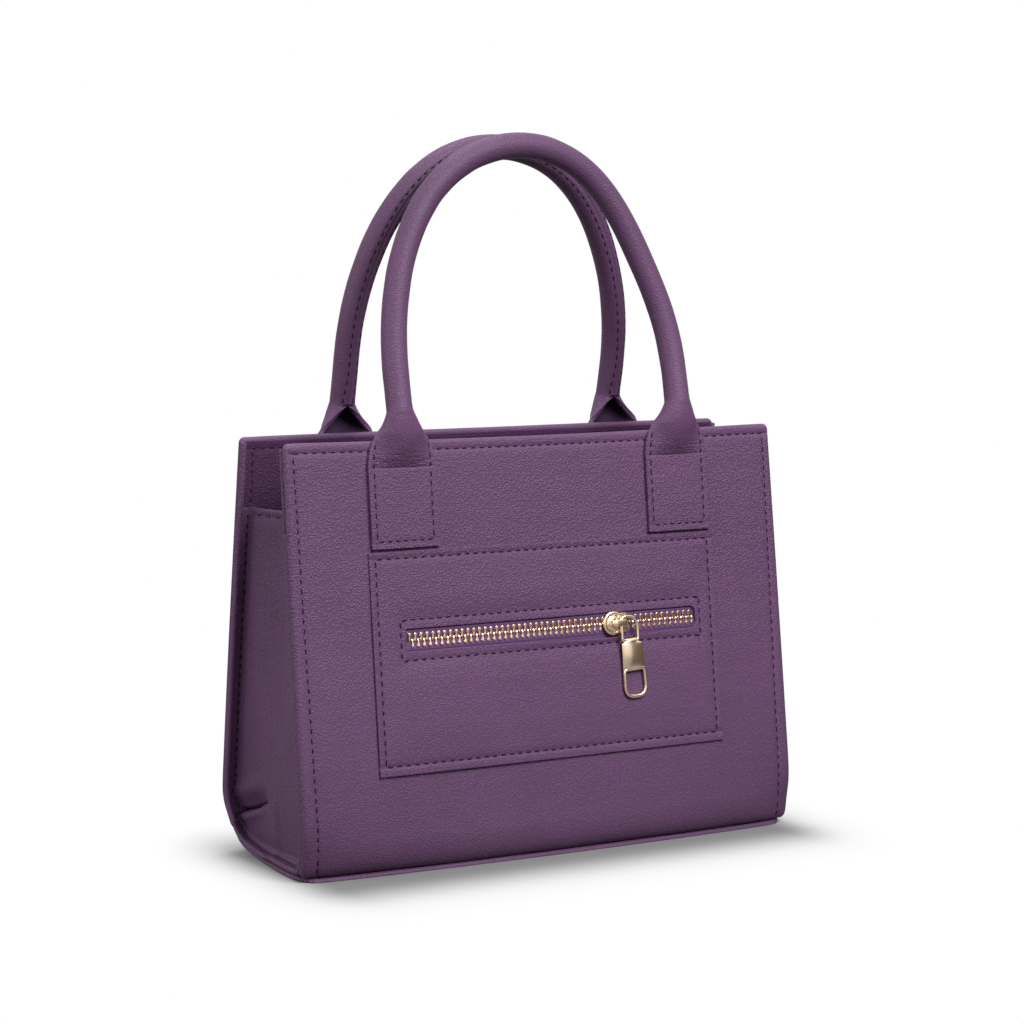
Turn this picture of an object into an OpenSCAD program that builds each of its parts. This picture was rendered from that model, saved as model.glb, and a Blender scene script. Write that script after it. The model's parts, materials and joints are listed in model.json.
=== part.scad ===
// Top handle bag: a small structured handbag with two rolled handles, recessed
// side gussets and a zipped patch pocket on the front.
// X runs to the right, Y to the back and Z up. The origin is on the ground,
// at the middle of the base.

/* [Body] */
// Width across the top edge
top_w = 210; // [170:1:260]
// How much wider each side is at the belly than at the top
belly_out = 2; // [0:0.5:6]
// Height of the belly line above the ground
belly_z = 30; // [22:1:60]
// How much wider each side is at the ground than at the top
base_out = 1.2; // [0:0.1:4]
// Height of the body without the handles
body_h = 157.6; // [140:0.2:200]
// Depth across the top edge
top_d = 41.3; // [34:0.1:60]
// Depth that the leaning faces would reach at the ground
base_d = 74; // [60:0.5:100]
// Radius of the fold between a face and the base
fold_r = 12; // [9:0.5:20]
// Height at which the base leather meets the faces
base_edge_z = 2.4; // [1.6:0.1:4]

/* [Leather, boards and lining] */
// Thickness of the leather
leather_t = 1.2; // [0.9:0.1:1.6]
// Thickness of the boards in the faces
board_t = 1; // [0.6:0.1:1.4]
// Thickness of the board in the base
base_board_t = 2; // [1.2:0.1:3]
// Height to which the base board is turned up
base_board_z = 5; // [4:0.1:8]
// How far a board stops below the top edge
board_drop = 3.6; // [2:0.1:8]
// Height of the leather facing inside the mouth
facing_h = 24.6; // [18:0.2:30]
// How far the facing stops short of the sides and the top
facing_inset = 0.6; // [0.3:0.1:2]
// Thickness of the lining cloth
lining_t = 0.4; // [0.3:0.1:0.8]
// How far the lining reaches up behind the facing
lining_tuck = 2; // [1:0.5:6]

/* [Gussets] */
// Height of the gussets' top edge
gusset_z = 132; // [110:1:136]
// How far a gusset's face is set in from the sides of the bag
gusset_inset = 5.5; // [3:0.1:10]
// How far a gusset's flange stops short of the sides of the bag
flange_inset = 0.4; // [0.2:0.1:2]

/* [Front pocket] */
// Width of the pocket patch
pocket_w = 150.4; // [144:0.2:180]
// Height of the pocket patch
pocket_h = 81.2; // [60:0.2:90]
// Thickness of the pocket patch
pocket_t = 1; // [0.7:0.1:1.3]
// Gap between the handle tabs and the pocket
pocket_gap = 1.1; // [0.5:0.1:6]
// Width of the window for the zipper
window_w = 127; // [100:1:130]
// Height of the window for the zipper
window_h = 8.2; // [8:0.1:9]
// How far the window's middle lies right of the bag's middle
window_x = 1.75; // [-2:0.05:4]
// Distance from the pocket's top edge down to the zipper's middle
window_drop = 32.5; // [20:0.5:40]
// Radius of the window's corners at its right end
window_r = 2.4; // [1:0.1:3]
// Width of the pocket bag behind the zipper
bag_w = 142; // [138:1:160]
// Height of the pocket bag behind the zipper
bag_h = 70; // [50:1:72]
// Width of the seam round the pocket bag
bag_seam = 6; // [3:0.5:10]

/* [Zipper] */
// Distance from tooth to tooth along one row
tooth_pitch = 2.46; // [2.2:0.02:2.8]
// Width of a tooth along the row
tooth_w = 1.3; // [1:0.05:1.6]
// Height of the closed chain, both rows together
chain_h = 5.74; // [5.5:0.02:6]
// Thickness of the chain
chain_t = 2.4; // [2:0.1:2.6]
// Gap between the two rows
row_gap = 1; // [0.8:0.05:1.3]
// How far a tooth's legs hold the tape
tooth_grip = 1.2; // [0.8:0.1:1.6]
// Thickness of the tape
tape_t = 0.6; // [0.4:0.05:0.8]
// Height of the tape seen above and below the middle of the zipper
tape_h = 8; // [7:0.1:10]
// How far the tapes run on past the window at each end
tape_over = 7; // [5:0.5:9]

/* [Slider and pull] */
// Distance from the window's right end to the middle of the slider's head
slider_from_end = 38; // [20:0.5:100]
// Diameter of the slider's head
slider_d = 9.3; // [8.6:0.1:9.8]
// Length from the middle of the head to the slider's tail
slider_tail = 6.3; // [5.6:0.1:8]
// Thickness of the slider's plates
plate_t = 0.9; // [0.6:0.05:1.1]
// Height of the dome on the slider's head
dome_h = 1.8; // [1:0.1:2.4]
// Width of the bridge that holds the bail
bridge_w = 2.6; // [2:0.1:3.4]
// Height of the bridge above the slider's plate
bridge_h = 3; // [2.8:0.1:4]
// Diameter of the bail's wire
wire_d = 1.2; // [0.9:0.1:1.4]
// Gap round the wire under the bridge
wire_gap = 0.3; // [0.2:0.05:0.4]
// Distance between the bail's legs
bail_w = 7.7; // [7:0.1:10]
// Height of the bail from its pins to its top
bail_h = 10; // [9:0.1:13]
// Radius of the bail's bend beside the bridge
bail_near_r = 1.8; // [1:0.1:1.8]
// Radius of the bail's outer bend
bail_far_r = 3.6; // [2:0.1:5]
// Length of the pull tab below the pins
tab_len = 22.5; // [16:0.5:30]
// Width of the pull tab at its shoulders
tab_top_w = 9.4; // [8.5:0.1:12]
// Width of the pull tab at its bottom
tab_low_w = 11; // [9:0.1:14]
// Thickness of the pull tab
tab_t = 1.4; // [1:0.1:1.8]
// Width of the slot in the pull tab
slot_w = 7.8; // [5:0.1:8]
// Height of the slot in the pull tab
slot_h = 8.4; // [6:0.1:10]
// Width of the metal below the slot
slot_rim = 2.4; // [1.6:0.1:4]

/* [Handles] */
// Distance between the legs of a handle
handle_spread = 120; // [100:1:140]
// Diameter of the rolled handle
roll_d = 10; // [8:0.2:13]
// Diameter of the cord inside the roll
core_d = 6; // [4:0.2:6.4]
// Gap between the cord and the roll
core_gap = 0.1; // [0.05:0.01:0.3]
// Height from the crease to the arch's springing, along the handle
leg_h = 30.7; // [24:0.1:50]
// Rise of the arch above its springing
arch_rise = 88.1; // [70:0.1:100]
// Angle at which a handle leans inwards
handle_lean = 9.55; // [6:0.05:9.8]
// How far the roll stands out from the face at the crease
handle_out = 8.9; // [7:0.1:12]
// Height of the flare between the crease and the roll
flare_h = 18; // [14:0.5:22]
// Width of a handle's sewn tab
strap_w = 28; // [22:0.5:34]
// Thickness of a handle's sewn tab
strap_t = 1.6; // [1.2:0.1:2.2]
// Height of a handle's sewn tab below its crease
strap_h = 29.4; // [20:0.2:36]
// Distance from the top edge down to the crease
crease_drop = 9.6; // [7:0.1:14]
// Gap between the tab and the flare at the crease
crease_gap = 0.3; // [0.2:0.05:0.4]

/* [Snap] */
// Diameter of the magnetic snap
snap_d = 14; // [10:0.5:18]
// Thickness of each half of the snap
snap_t = 2.2; // [1.4:0.1:2.4]
// Diameter of the snap's stud
stud_d = 5; // [3:0.2:7]
// Height of the snap's stud
stud_h = 1.4; // [1:0.1:1.6]
// Distance from the top edge down to the middle of the snap
snap_drop = 14; // [10:0.5:17]

/* [Hidden] */

$fn = 48;
// Steps in the fold's arc
arc_steps = 8;
// Overrun of every cut, and the gap that separates soft pieces
cut = 1;
soft_gap = 0.3;

// Colours
leather_colour = "#6a4a70";
leather_inner_colour = "#5a3d60";
board_colour = "#b9a98c";
cloth_colour = "#3f3146";
tape_colour = "#553a6b";
metal_colour = "#d8bf8e";
snap_colour = "#b8b0a0";
cord_colour = "#d8d2c4";

// Lean of the faces, and the centre line of the folds
half_top = top_d / 2;
lean = atan((base_d - top_d) / 2 / body_h);
fold_y = half_top + (body_h - fold_r) * tan(lean) - fold_r / cos(lean);

// Layers of a face, counted inwards from its outer side
board_in = leather_t;
facing_in = leather_t + board_t;
lining_in = facing_in + leather_t;
lining_side_inset = gusset_inset + leather_t;
board_side_inset = lining_side_inset + soft_gap;
facing_z = body_h - facing_inset - facing_h;

// Heights on the front face
crease_z = body_h - crease_drop;
strap_low_z = crease_z - strap_h;
pocket_top_z = strap_low_z - pocket_gap;
zip_z = pocket_top_z - window_drop;
slider_x = window_x + window_w / 2 - slider_from_end;

// Levels above the face round the zipper, the slider's walls and web, how far the
// walls run on behind its middle, and the room round it in the board
tape_n = -tape_t;
chain_n = tape_n + tape_t / 2;
tooth_l = (chain_h - row_gap) / 2;
plate_n = pocket_t + soft_gap;
under_n = chain_n - chain_t / 2 - soft_gap / 2;
bridge_top = plate_n + plate_t + bridge_h;
bail_n = plate_n + plate_t + wire_gap + wire_d / 2 + soft_gap;
wall_in = chain_h / 2 + soft_gap / 2;
wall_out = window_h / 2 - soft_gap;
tape_gap = soft_gap / 2;
web_t = row_gap / 2;
web_l = slider_d / 3;
wall_share = 1 / 3;
board_room = 0.6;
board_window_h = slider_d + 2 * board_room;
tape_window_h = 2 * tape_h;

// Bail and pull tab, measured from the slider. The shares are of the wire's
// thickness, of the tab's width and of the metal beside the slot.
bail_share = 2.6;
pin_share = 1.4;
neck_share = 0.95;
shoulder_share = 1.2;
corner_share = 0.22;
slot_share = 0.4;
bail_x = slider_x + slider_tail / 2;
pin_v = wire_d * bail_share - bail_h;
pin_l = wire_d * pin_share;
neck_w = bail_w - wire_d - 2 * soft_gap;
neck_r = wire_d * neck_share;
tab_r = tab_low_w * corner_share;
slot_r = tab_r - (tab_low_w - slot_w) / 2 * slot_share;
shoulder_drop = wire_d * shoulder_share;
tab_tilt = asin((bail_n - tab_t / 2 - pocket_t - soft_gap) / tab_len);
tab_x = (tab_low_w - bail_w) / 4;

// Handle: half its spread, steps and sides of its skin, the power that squares
// its arch a little, the power that flattens its flare into the strap, and where
// the opening between its edges starts in the flare
arch_a = handle_spread / 2;
arch_share = 2 / 2.18;
flat_share = 0.35;
opening_share = 0.78;
arch_steps = 30;
turn_step = 0.5;
flare_steps = 7;
roll_sides = 12;
crease_y = half_top + crease_drop * tan(lean);

// Half width of the bag at height z
function half_w(z) = z < belly_z
    ? top_w / 2 + base_out + (belly_out - base_out) * z / belly_z
    : top_w / 2 + belly_out * (body_h - z) / (body_h - belly_z);

// Side view of the bag, moved in by an inset all round but the top
function fold_point(inset, turn) =
    [fold_y + (fold_r - inset) * cos(turn), fold_r + (fold_r - inset) * sin(turn)];
function side_half(inset) = concat(
    [for (i = [0:arc_steps]) fold_point(inset, -90 + (90 + lean) * i / arc_steps)],
    [[half_top - inset / cos(lean), body_h]]);
function flipped(points) =
    [for (i = [len(points) - 1:-1:0]) [-points[i][0], points[i][1]]];
function side_points(inset) = concat(side_half(inset), flipped(side_half(inset)));

// Front view of the bag between two heights, moved in at its sides
function front_points(inset, low, high) = let (mid = low < belly_z && belly_z < high)
    concat([[half_w(low) - inset, low]],
           mid ? [[half_w(belly_z) - inset, belly_z]] : [],
           [[half_w(high) - inset, high], [inset - half_w(high), high]],
           mid ? [[inset - half_w(belly_z), belly_z]] : [],
           [[inset - half_w(low), low]]);

// Place along the leaning face of a height z
function along_face(z) = (z - body_h) / cos(lean);

// A side view drawn across the bag's width, and a front view through its depth
module across(width) rotate([90, 0, 90]) linear_extrude(width, center = true) children();
module through(depth) rotate([90, 0, 0]) linear_extrude(depth, center = true) children();

// The layer of the body between two insets, both faces and the base
module layer(outer, inner) {
    across(2 * top_w) difference() {
        polygon(side_points(outer));
        polygon(side_points(inner));
        translate([-half_top, body_h - cut]) square([top_d, 2 * cut]);
    }
}

// The half of space in front of the bag's middle, or behind it
module half_space(front) {
    translate([-top_w, front ? -base_d : 0, -cut]) cube([2 * top_w, base_d, body_h + 2 * cut]);
}

// One face's layer, cut to a front view
module face_layer(front, outer, inner, side_inset, low, high) {
    intersection() {
        layer(outer, inner);
        through(2 * base_d) polygon(front_points(side_inset, low, high));
        half_space(front);
    }
}

// The frame of the front face: X across, Z up the face and -Y out of it
module on_front() {
    translate([0, -half_top, body_h]) rotate([-lean, 0, 0]) children();
}

// A flat piece on the front face, drawn across and up the face
module flat_on_front(from_n, to_n) {
    on_front() translate([0, -from_n, 0]) rotate([90, 0, 0])
        linear_extrude(to_n - from_n) children();
}

// A rectangle of the front face, given by its middle and heights
module face_rect(middle_x, width, low_z, high_z) {
    translate([middle_x - width / 2, along_face(low_z)])
        square([width, along_face(high_z) - along_face(low_z)]);
}

// A rectangle of the face round the zipper
module zip_rect(width, height) {
    translate([window_x - width / 2, along_face(zip_z) - height / 2]) square([width, height]);
}

// The zipper's window, square at the left end and rounded at the right
module window_shape() {
    left = window_x - window_w / 2;
    middle = along_face(zip_z);
    translate([left, middle - window_h / 2]) square([window_w - window_r, window_h]);
    translate([left, middle + window_r - window_h / 2])
        square([window_w, window_h - 2 * window_r]);
    for (side = [-1, 1])
        translate([left + window_w - window_r, middle + side * (window_h / 2 - window_r)])
            circle(window_r);
}

// The back of the bag is the front turned round
module as_back() mirror([0, 1, 0]) children();

// Outer leather
module front_panel() {
    color(leather_colour) difference() {
        face_layer(true, 0, leather_t, 0, base_edge_z, body_h);
        flat_on_front(-leather_t - cut, cut) zip_rect(window_w + 2 * tape_over, tape_window_h);
    }
}

module back_panel() {
    color(leather_colour) face_layer(false, 0, leather_t, 0, base_edge_z, body_h);
}

module bottom_panel() {
    color(leather_colour) intersection() {
        layer(0, leather_t);
        through(2 * base_d) polygon(front_points(0, 0, base_edge_z));
    }
}

// One gusset: a face set in between the panels and a flange turned outwards
module gusset(side) {
    module slice(outer_inset, inner_inset) {
        through(2 * base_d) difference() {
            polygon(front_points(outer_inset, 0, gusset_z));
            polygon(front_points(inner_inset, -cut, gusset_z + cut));
            translate([side > 0 ? -top_w : 0, -cut]) square([top_w, gusset_z + 2 * cut]);
        }
    }
    color(leather_colour) {
        intersection() {
            across(2 * top_w) polygon(side_points(leather_t));
            slice(gusset_inset, gusset_inset + leather_t);
        }
        intersection() {
            layer(leather_t, 2 * leather_t);
            slice(flange_inset, gusset_inset);
        }
    }
}

module left_gusset() gusset(-1);
module right_gusset() gusset(1);

// Boards between the leather and the lining
module front_board() {
    color(board_colour) difference() {
        face_layer(true, board_in, board_in + board_t, board_side_inset,
                   base_board_z + soft_gap, body_h - board_drop);
        flat_on_front(-board_in - board_t - cut, cut)
            zip_rect(window_w + slider_d, board_window_h);
    }
}

module back_board() {
    color(board_colour)
        face_layer(false, board_in, board_in + board_t, board_side_inset,
                   base_board_z + soft_gap, body_h - board_drop);
}

module base_board() {
    color(board_colour) intersection() {
        layer(leather_t, leather_t + base_board_t);
        through(2 * base_d) polygon(front_points(board_side_inset, 0, base_board_z));
    }
}

// Leather facing inside the mouth
module facing(front) {
    color(leather_inner_colour)
        face_layer(front, facing_in, facing_in + leather_t, facing_inset,
                   facing_z, body_h - facing_inset);
}

module front_facing() facing(true);
module back_facing() facing(false);

// Cloth lining: front and back halves, and a piece over each gusset
module lining_half(front) {
    color(cloth_colour)
        face_layer(front, lining_in, lining_in + lining_t, lining_side_inset + lining_t,
                   0, facing_z + lining_tuck);
}

module side_lining(side) {
    color(cloth_colour) intersection() {
        across(2 * top_w) polygon(side_points(lining_in));
        through(2 * base_d) difference() {
            polygon(front_points(lining_side_inset, 0, gusset_z - soft_gap));
            polygon(front_points(lining_side_inset + lining_t, -cut, gusset_z + cut));
            translate([side > 0 ? -top_w : 0, -cut]) square([top_w, gusset_z + 2 * cut]);
        }
    }
}

module front_lining() lining_half(true);
module back_lining() lining_half(false);
module left_lining() side_lining(-1);
module right_lining() side_lining(1);

// Pocket on the front: the patch with its window, and the bag behind the zipper
module pocket_patch() {
    color(leather_colour) flat_on_front(0, pocket_t) difference() {
        face_rect(0, pocket_w, pocket_top_z - pocket_h, pocket_top_z);
        window_shape();
    }
}

module pocket_bag() {
    top = zip_z + board_window_h / 2 + bag_seam;
    sheet_n = facing_in;
    module outline(inset) {
        face_rect(window_x, bag_w - 2 * inset, top - bag_h + inset, top - inset);
    }
    color(cloth_colour) {
        flat_on_front(-sheet_n - lining_t, -sheet_n) difference() {
            outline(0);
            zip_rect(window_w + slider_d, board_window_h);
        }
        flat_on_front(-lining_in, -lining_in + lining_t) outline(0);
        flat_on_front(-lining_in + lining_t, -sheet_n - lining_t) difference() {
            outline(0);
            outline(bag_seam);
        }
    }
}

// Zipper: two tapes, two rows of teeth that grip them, and the end stops
module tape(side) {
    edge = row_gap / 2 + tooth_l - tooth_grip;
    color(tape_colour) flat_on_front(tape_n, 0)
        translate([window_x - window_w / 2 - tape_over, along_face(zip_z)
                   + (side > 0 ? edge : -tape_h)])
            square([window_w + 2 * tape_over, tape_h - edge]);
}

module zipper_tape_upper() tape(1);
module zipper_tape_lower() tape(-1);

module teeth(side) {
    count = floor((window_w - tooth_w) / tooth_pitch);
    first = window_x - (count - 1) * tooth_pitch / 2 - side * tooth_pitch / 4;
    head = tooth_l - tooth_grip;
    color(metal_colour) for (i = [0:count - 1]) {
        left = first + i * tooth_pitch - tooth_w / 2;
        flat_on_front(chain_n - chain_t / 2, chain_n + chain_t / 2)
            translate([left, along_face(zip_z) + (side > 0 ? row_gap / 2
                                                           : -row_gap / 2 - head)])
                square([tooth_w, head]);
        for (leg = [[chain_n - chain_t / 2, tape_n], [0, chain_n + chain_t / 2]])
            flat_on_front(leg[0], leg[1])
                translate([left, along_face(zip_z) + (side > 0
                           ? row_gap / 2 + head : -row_gap / 2 - tooth_l)])
                    square([tooth_w, tooth_grip]);
    }
}

module zipper_teeth_upper() teeth(1);
module zipper_teeth_lower() teeth(-1);

module zipper_end_stops() {
    stop_h = row_gap + 2 * (tooth_l - tooth_grip);
    color(metal_colour) for (end = [-1, 1])
        flat_on_front(tape_n - tape_t, -soft_gap / 2)
            translate([window_x + end * (window_w + tape_over) / 2 - tooth_w / 2,
                       along_face(zip_z) - stop_h / 2])
                square([tooth_w, stop_h]);
}

// Slider: two plates with side walls round the chain, a web between the rows,
// a domed head and a bridge with a hole for the bail
module slider_outline() {
    translate([slider_x, along_face(zip_z)]) {
        circle(d = slider_d);
        translate([0, -wall_out]) square([slider_tail, 2 * wall_out]);
    }
}

module zipper_slider() {
    middle = along_face(zip_z);
    dome_r = (slider_d * slider_d / 4 + dome_h * dome_h) / (2 * dome_h);
    top_n = plate_n + plate_t;
    color(metal_colour) difference() {
        union() {
            flat_on_front(plate_n, top_n) slider_outline();
            flat_on_front(under_n - plate_t, under_n) slider_outline();
            flat_on_front(under_n - plate_t, top_n)
                translate([slider_x - web_l / 2, middle - web_t / 2]) square([web_l, web_t]);
            for (wall = [wall_in, -wall_out], span = [[tape_gap, top_n],
                                                     [under_n - plate_t, tape_n - tape_gap]])
                flat_on_front(span[0], span[1])
                    translate([slider_x - slider_tail * wall_share, middle + wall])
                        square([slider_tail * (1 + wall_share), wall_out - wall_in]);
            on_front() translate([slider_x, -top_n, middle]) intersection() {
                translate([0, dome_r - dome_h, 0]) sphere(dome_r);
                rotate([90, 0, 0]) cylinder(d = slider_d, h = dome_h);
            }
            flat_on_front(top_n, bridge_top)
                translate([slider_x - bridge_w / 2, middle - bridge_w / 2])
                    square([slider_tail + bridge_w / 2, bridge_w]);
        }
        on_front() translate([bail_x, -bail_n, middle - slider_d])
            cylinder(d = wire_d + 2 * wire_gap, h = 2 * slider_d);
    }
}

// Bail: a wire loop whose left leg runs straight up under the bridge before it
// bends, and whose ends are turned in as pins
module pull_bail() {
    module leg(x, inwards, bend_r, turn) {
        translate([x, 0, 0]) {
            cylinder(d = wire_d, h = bail_h - bend_r);
            sphere(d = wire_d);
            rotate([0, inwards * 90, 0]) cylinder(d = wire_d, h = pin_l);
            translate([inwards * bend_r, 0, bail_h - bend_r]) rotate([90, 0, 0])
                rotate([0, 0, turn]) rotate_extrude(angle = 90)
                    translate([bend_r, 0]) circle(d = wire_d);
        }
    }
    color(metal_colour) on_front()
        translate([bail_x, -bail_n, along_face(zip_z) + pin_v]) {
            leg(0, 1, bail_near_r, 90);
            leg(bail_w, -1, bail_far_r, 0);
            translate([bail_near_r, 0, bail_h]) rotate([0, 90, 0])
                cylinder(d = wire_d, h = bail_w - bail_near_r - bail_far_r);
        }
}

// Pull tab: a neck with a hole for the pins, a plate that widens downwards and
// a slot near its end
module pull_tab() {
    function corner(side) = [for (i = [0:arc_steps]) let (turn = 90 * i / arc_steps)
        [side * (tab_low_w / 2 - tab_r + tab_r * cos(turn)),
         tab_r - tab_len - tab_r * sin(turn)]];
    module plate() {
        polygon(concat([[-tab_top_w / 2, -shoulder_drop], [tab_top_w / 2, -shoulder_drop]],
                       corner(1), [for (i = [arc_steps:-1:0]) corner(-1)[i]]));
    }
    color(metal_colour) on_front()
        translate([bail_x + bail_w / 2, -bail_n, along_face(zip_z) + pin_v])
            rotate([tab_tilt, 0, 0]) difference() {
                union() {
                    translate([-neck_w / 2, 0, 0]) rotate([0, 90, 0])
                        cylinder(r = neck_r, h = neck_w);
                    rotate([90, 0, 0]) linear_extrude(tab_t, center = true) {
                        translate([-neck_w / 2, -shoulder_drop - neck_r])
                            square([neck_w, shoulder_drop + neck_r]);
                        translate([tab_x, 0]) plate();
                    }
                }
                translate([-neck_w, 0, 0]) rotate([0, 90, 0])
                    cylinder(d = wire_d + soft_gap, h = 2 * neck_w);
                rotate([90, 0, 0]) linear_extrude(2 * tab_t, center = true)
                    translate([tab_x, slot_rim - tab_len]) {
                        translate([-slot_w / 2, slot_r]) square([slot_w, slot_h - 2 * slot_r]);
                        translate([slot_r - slot_w / 2, 0])
                            square([slot_w - 2 * slot_r, slot_h]);
                        for (side = [-1, 1], v = [slot_r, slot_h - slot_r])
                            translate([side * (slot_w / 2 - slot_r), v]) circle(slot_r);
                    }
            }
}

// Handle tab sewn flat to the face, below the crease
module handle_tab(side) {
    color(leather_colour) flat_on_front(0, strap_t)
        face_rect(side * handle_spread / 2, strap_w, strap_low_z, crease_z - crease_gap);
}

// The frame of a handle: its origin is level with the crease, in line with the
// roll, and Z runs up along the leaning handle
module on_handle() {
    translate([0, -crease_y - handle_out, crease_z]) rotate([-handle_lean, 0, 0]) children();
}

// A skin through rings of points, closed by its first and last rings
module skin(rings) {
    sides = len(rings[0]);
    last = len(rings) - 1;
    polyhedron(
        points = [for (ring = rings) each ring],
        faces = concat(
            [[for (k = [0:sides - 1]) k]],
            [for (i = [0:last - 1], k = [0:sides - 1]) let (next = (k + 1) % sides)
                [i * sides + next, i * sides + k, (i + 1) * sides + k, (i + 1) * sides + next]],
            [[for (k = [sides - 1:-1:0]) last * sides + k]]));
}

// A point of a section between round and square, by its turn
function rounded(v, share) = sign(v) * pow(abs(v), share);

// A ring across one leg of the handle: its place, half sizes and squareness.
// The skin climbs the left leg and comes down the right one, so the right is flipped.
function leg_ring(side, y, z, half_x, half_y, share) =
    [for (k = [0:roll_sides - 1]) let (turn = 360 * k / roll_sides)
        [side * (arch_a - half_x * rounded(cos(turn), share)),
         y + half_y * rounded(sin(turn), share), z]];

// A ring across the arch at its turn from the left springing, in radius r
function arch_point(turn) =
    [-arch_a * rounded(cos(turn), arch_share), leg_h + arch_rise * pow(sin(turn), arch_share)];
function arch_ring(turn, r) = let (
    here = arch_point(turn),
    ahead = arch_point(turn + turn_step),
    behind = arch_point(turn - turn_step),
    along = (ahead - behind) / norm(ahead - behind))
    [for (k = [0:roll_sides - 1]) let (a = 360 * k / roll_sides)
        [here[0] + r * cos(a) * along[1], r * sin(a), here[1] - r * cos(a) * along[0]]];
function arch_rings(r) =
    [for (i = [1:arch_steps - 1]) arch_ring(180 * i / arch_steps, r)];

// The flare's rings, from the flat strap at the crease up to the round roll
function flare_ring(side, u) = let (
    full = sin(90 * u),
    wide = 1 - u * u * (3 - 2 * u),
    seat_y = (handle_out - (strap_t + soft_gap) / 2) * cos(handle_lean),
    seat_z = (handle_out - (strap_t + soft_gap) / 2) * sin(handle_lean) + crease_gap,
    flat_t = (strap_t - soft_gap) / 2)
    leg_ring(side, seat_y * (1 - full), seat_z + (flare_h - seat_z) * u,
             (roll_d + (strap_w - roll_d) * wide) / 2,
             flat_t + (roll_d / 2 - flat_t) * full,
             1 - (1 - flat_share) * (1 - full));
function flare_rings(side) = [for (i = [0:flare_steps]) flare_ring(side, i / flare_steps)];
function turned(rings) = [for (i = [len(rings) - 1:-1:0]) rings[i]];

// The opening on the inner side of the flare, where the rolled edges part
module flare_opening(side) {
    half = core_d / 2 + core_gap;
    translate([side * arch_a, roll_d / 2, 0]) rotate([90, 0, 0])
        linear_extrude(roll_d, center = true)
            polygon([[0, flare_h + roll_d / 2], [half, flare_h], [half, flare_h * opening_share],
                     [-half, flare_h * opening_share], [-half, flare_h]]);
}

module cord_skin(r) {
    skin(concat([leg_ring(-1, 0, flare_h, r, r, 1)], arch_rings(r),
                [leg_ring(1, 0, flare_h, r, r, 1)]));
}

module handle_roll() {
    color(leather_colour) on_handle() difference() {
        skin(concat(flare_rings(-1), arch_rings(roll_d / 2), turned(flare_rings(1))));
        cord_skin(core_d / 2 + core_gap);
        for (side = [-1, 1]) flare_opening(side);
    }
}

module handle_cord() color(cord_colour) on_handle() cord_skin(core_d / 2);

module front_handle_tab_left() handle_tab(-1);
module front_handle_tab_right() handle_tab(1);
module front_handle_roll() handle_roll();
module front_handle_cord() handle_cord();
module back_handle_tab_left() as_back() handle_tab(-1);
module back_handle_tab_right() as_back() handle_tab(1);
module back_handle_roll() as_back() handle_roll();
module back_handle_cord() as_back() handle_cord();

// Magnetic snap: a half on each facing, one with a stud and one with its socket
module snap_half(stud) {
    seat = facing_in + leather_t;
    color(snap_colour) on_front()
        translate([0, seat, along_face(body_h - snap_drop)]) rotate([-90, 0, 0])
            difference() {
                union() {
                    cylinder(d = snap_d, h = snap_t);
                    if (stud) cylinder(d = stud_d, h = snap_t + stud_h);
                }
                if (!stud) translate([0, 0, snap_t - stud_h])
                    cylinder(d = stud_d + 2 * soft_gap, h = stud_h + cut);
            }
}

module snap_stud_half() snap_half(true);
module snap_socket_half() as_back() snap_half(false);

front_panel();
back_panel();
bottom_panel();
left_gusset();
right_gusset();
front_board();
back_board();
base_board();
front_facing();
back_facing();
front_lining();
back_lining();
left_lining();
right_lining();
pocket_patch();
pocket_bag();
zipper_tape_upper();
zipper_tape_lower();
zipper_teeth_upper();
zipper_teeth_lower();
zipper_end_stops();
zipper_slider();
pull_bail();
pull_tab();
front_handle_tab_left();
front_handle_tab_right();
front_handle_roll();
front_handle_cord();
back_handle_tab_left();
back_handle_tab_right();
back_handle_roll();
back_handle_cord();
snap_stud_half();
snap_socket_half();
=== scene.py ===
"""Top handle bag: leather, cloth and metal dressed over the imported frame."""

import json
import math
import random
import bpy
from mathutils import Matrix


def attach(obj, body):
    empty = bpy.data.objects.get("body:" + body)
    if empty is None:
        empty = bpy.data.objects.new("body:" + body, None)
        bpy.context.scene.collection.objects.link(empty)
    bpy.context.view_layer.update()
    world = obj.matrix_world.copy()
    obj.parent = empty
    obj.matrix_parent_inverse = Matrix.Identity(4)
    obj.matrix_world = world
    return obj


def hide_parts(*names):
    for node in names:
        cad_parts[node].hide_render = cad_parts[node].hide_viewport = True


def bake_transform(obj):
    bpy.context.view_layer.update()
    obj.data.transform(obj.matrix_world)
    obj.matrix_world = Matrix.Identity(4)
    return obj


bl_info = {
    "name": "Top handle bag",
    "version": (1, 0, 0),
    "blender": (4, 5, 0),
    "location": "View3D > Sidebar > Bag",
    "description": "Builds a purple top handle bag with a zipped pocket",
    "category": "Object",
}

import bmesh
import bpy
from mathutils import Matrix, Vector, noise

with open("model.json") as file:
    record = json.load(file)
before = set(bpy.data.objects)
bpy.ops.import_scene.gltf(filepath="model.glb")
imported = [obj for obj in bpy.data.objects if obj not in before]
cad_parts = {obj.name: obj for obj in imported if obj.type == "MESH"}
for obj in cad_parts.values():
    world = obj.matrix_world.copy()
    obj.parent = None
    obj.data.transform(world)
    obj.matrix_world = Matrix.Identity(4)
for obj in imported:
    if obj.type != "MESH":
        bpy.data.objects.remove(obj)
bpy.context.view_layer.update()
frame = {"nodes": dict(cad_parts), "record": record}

MM = 0.001
JOINTS = {j["name"]: j for j in frame["record"]["behaviour"]["joints"]}


def in_mm(value):
    return [c / MM for c in value]


def unit(t):
    return min(1, max(0, t))


def eased(t):
    t = unit(t)
    return t * t * (3 - 2 * t)


def bell(t):
    """1 at nought, falling off on both sides."""
    return math.exp(-(t**2))


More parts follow.
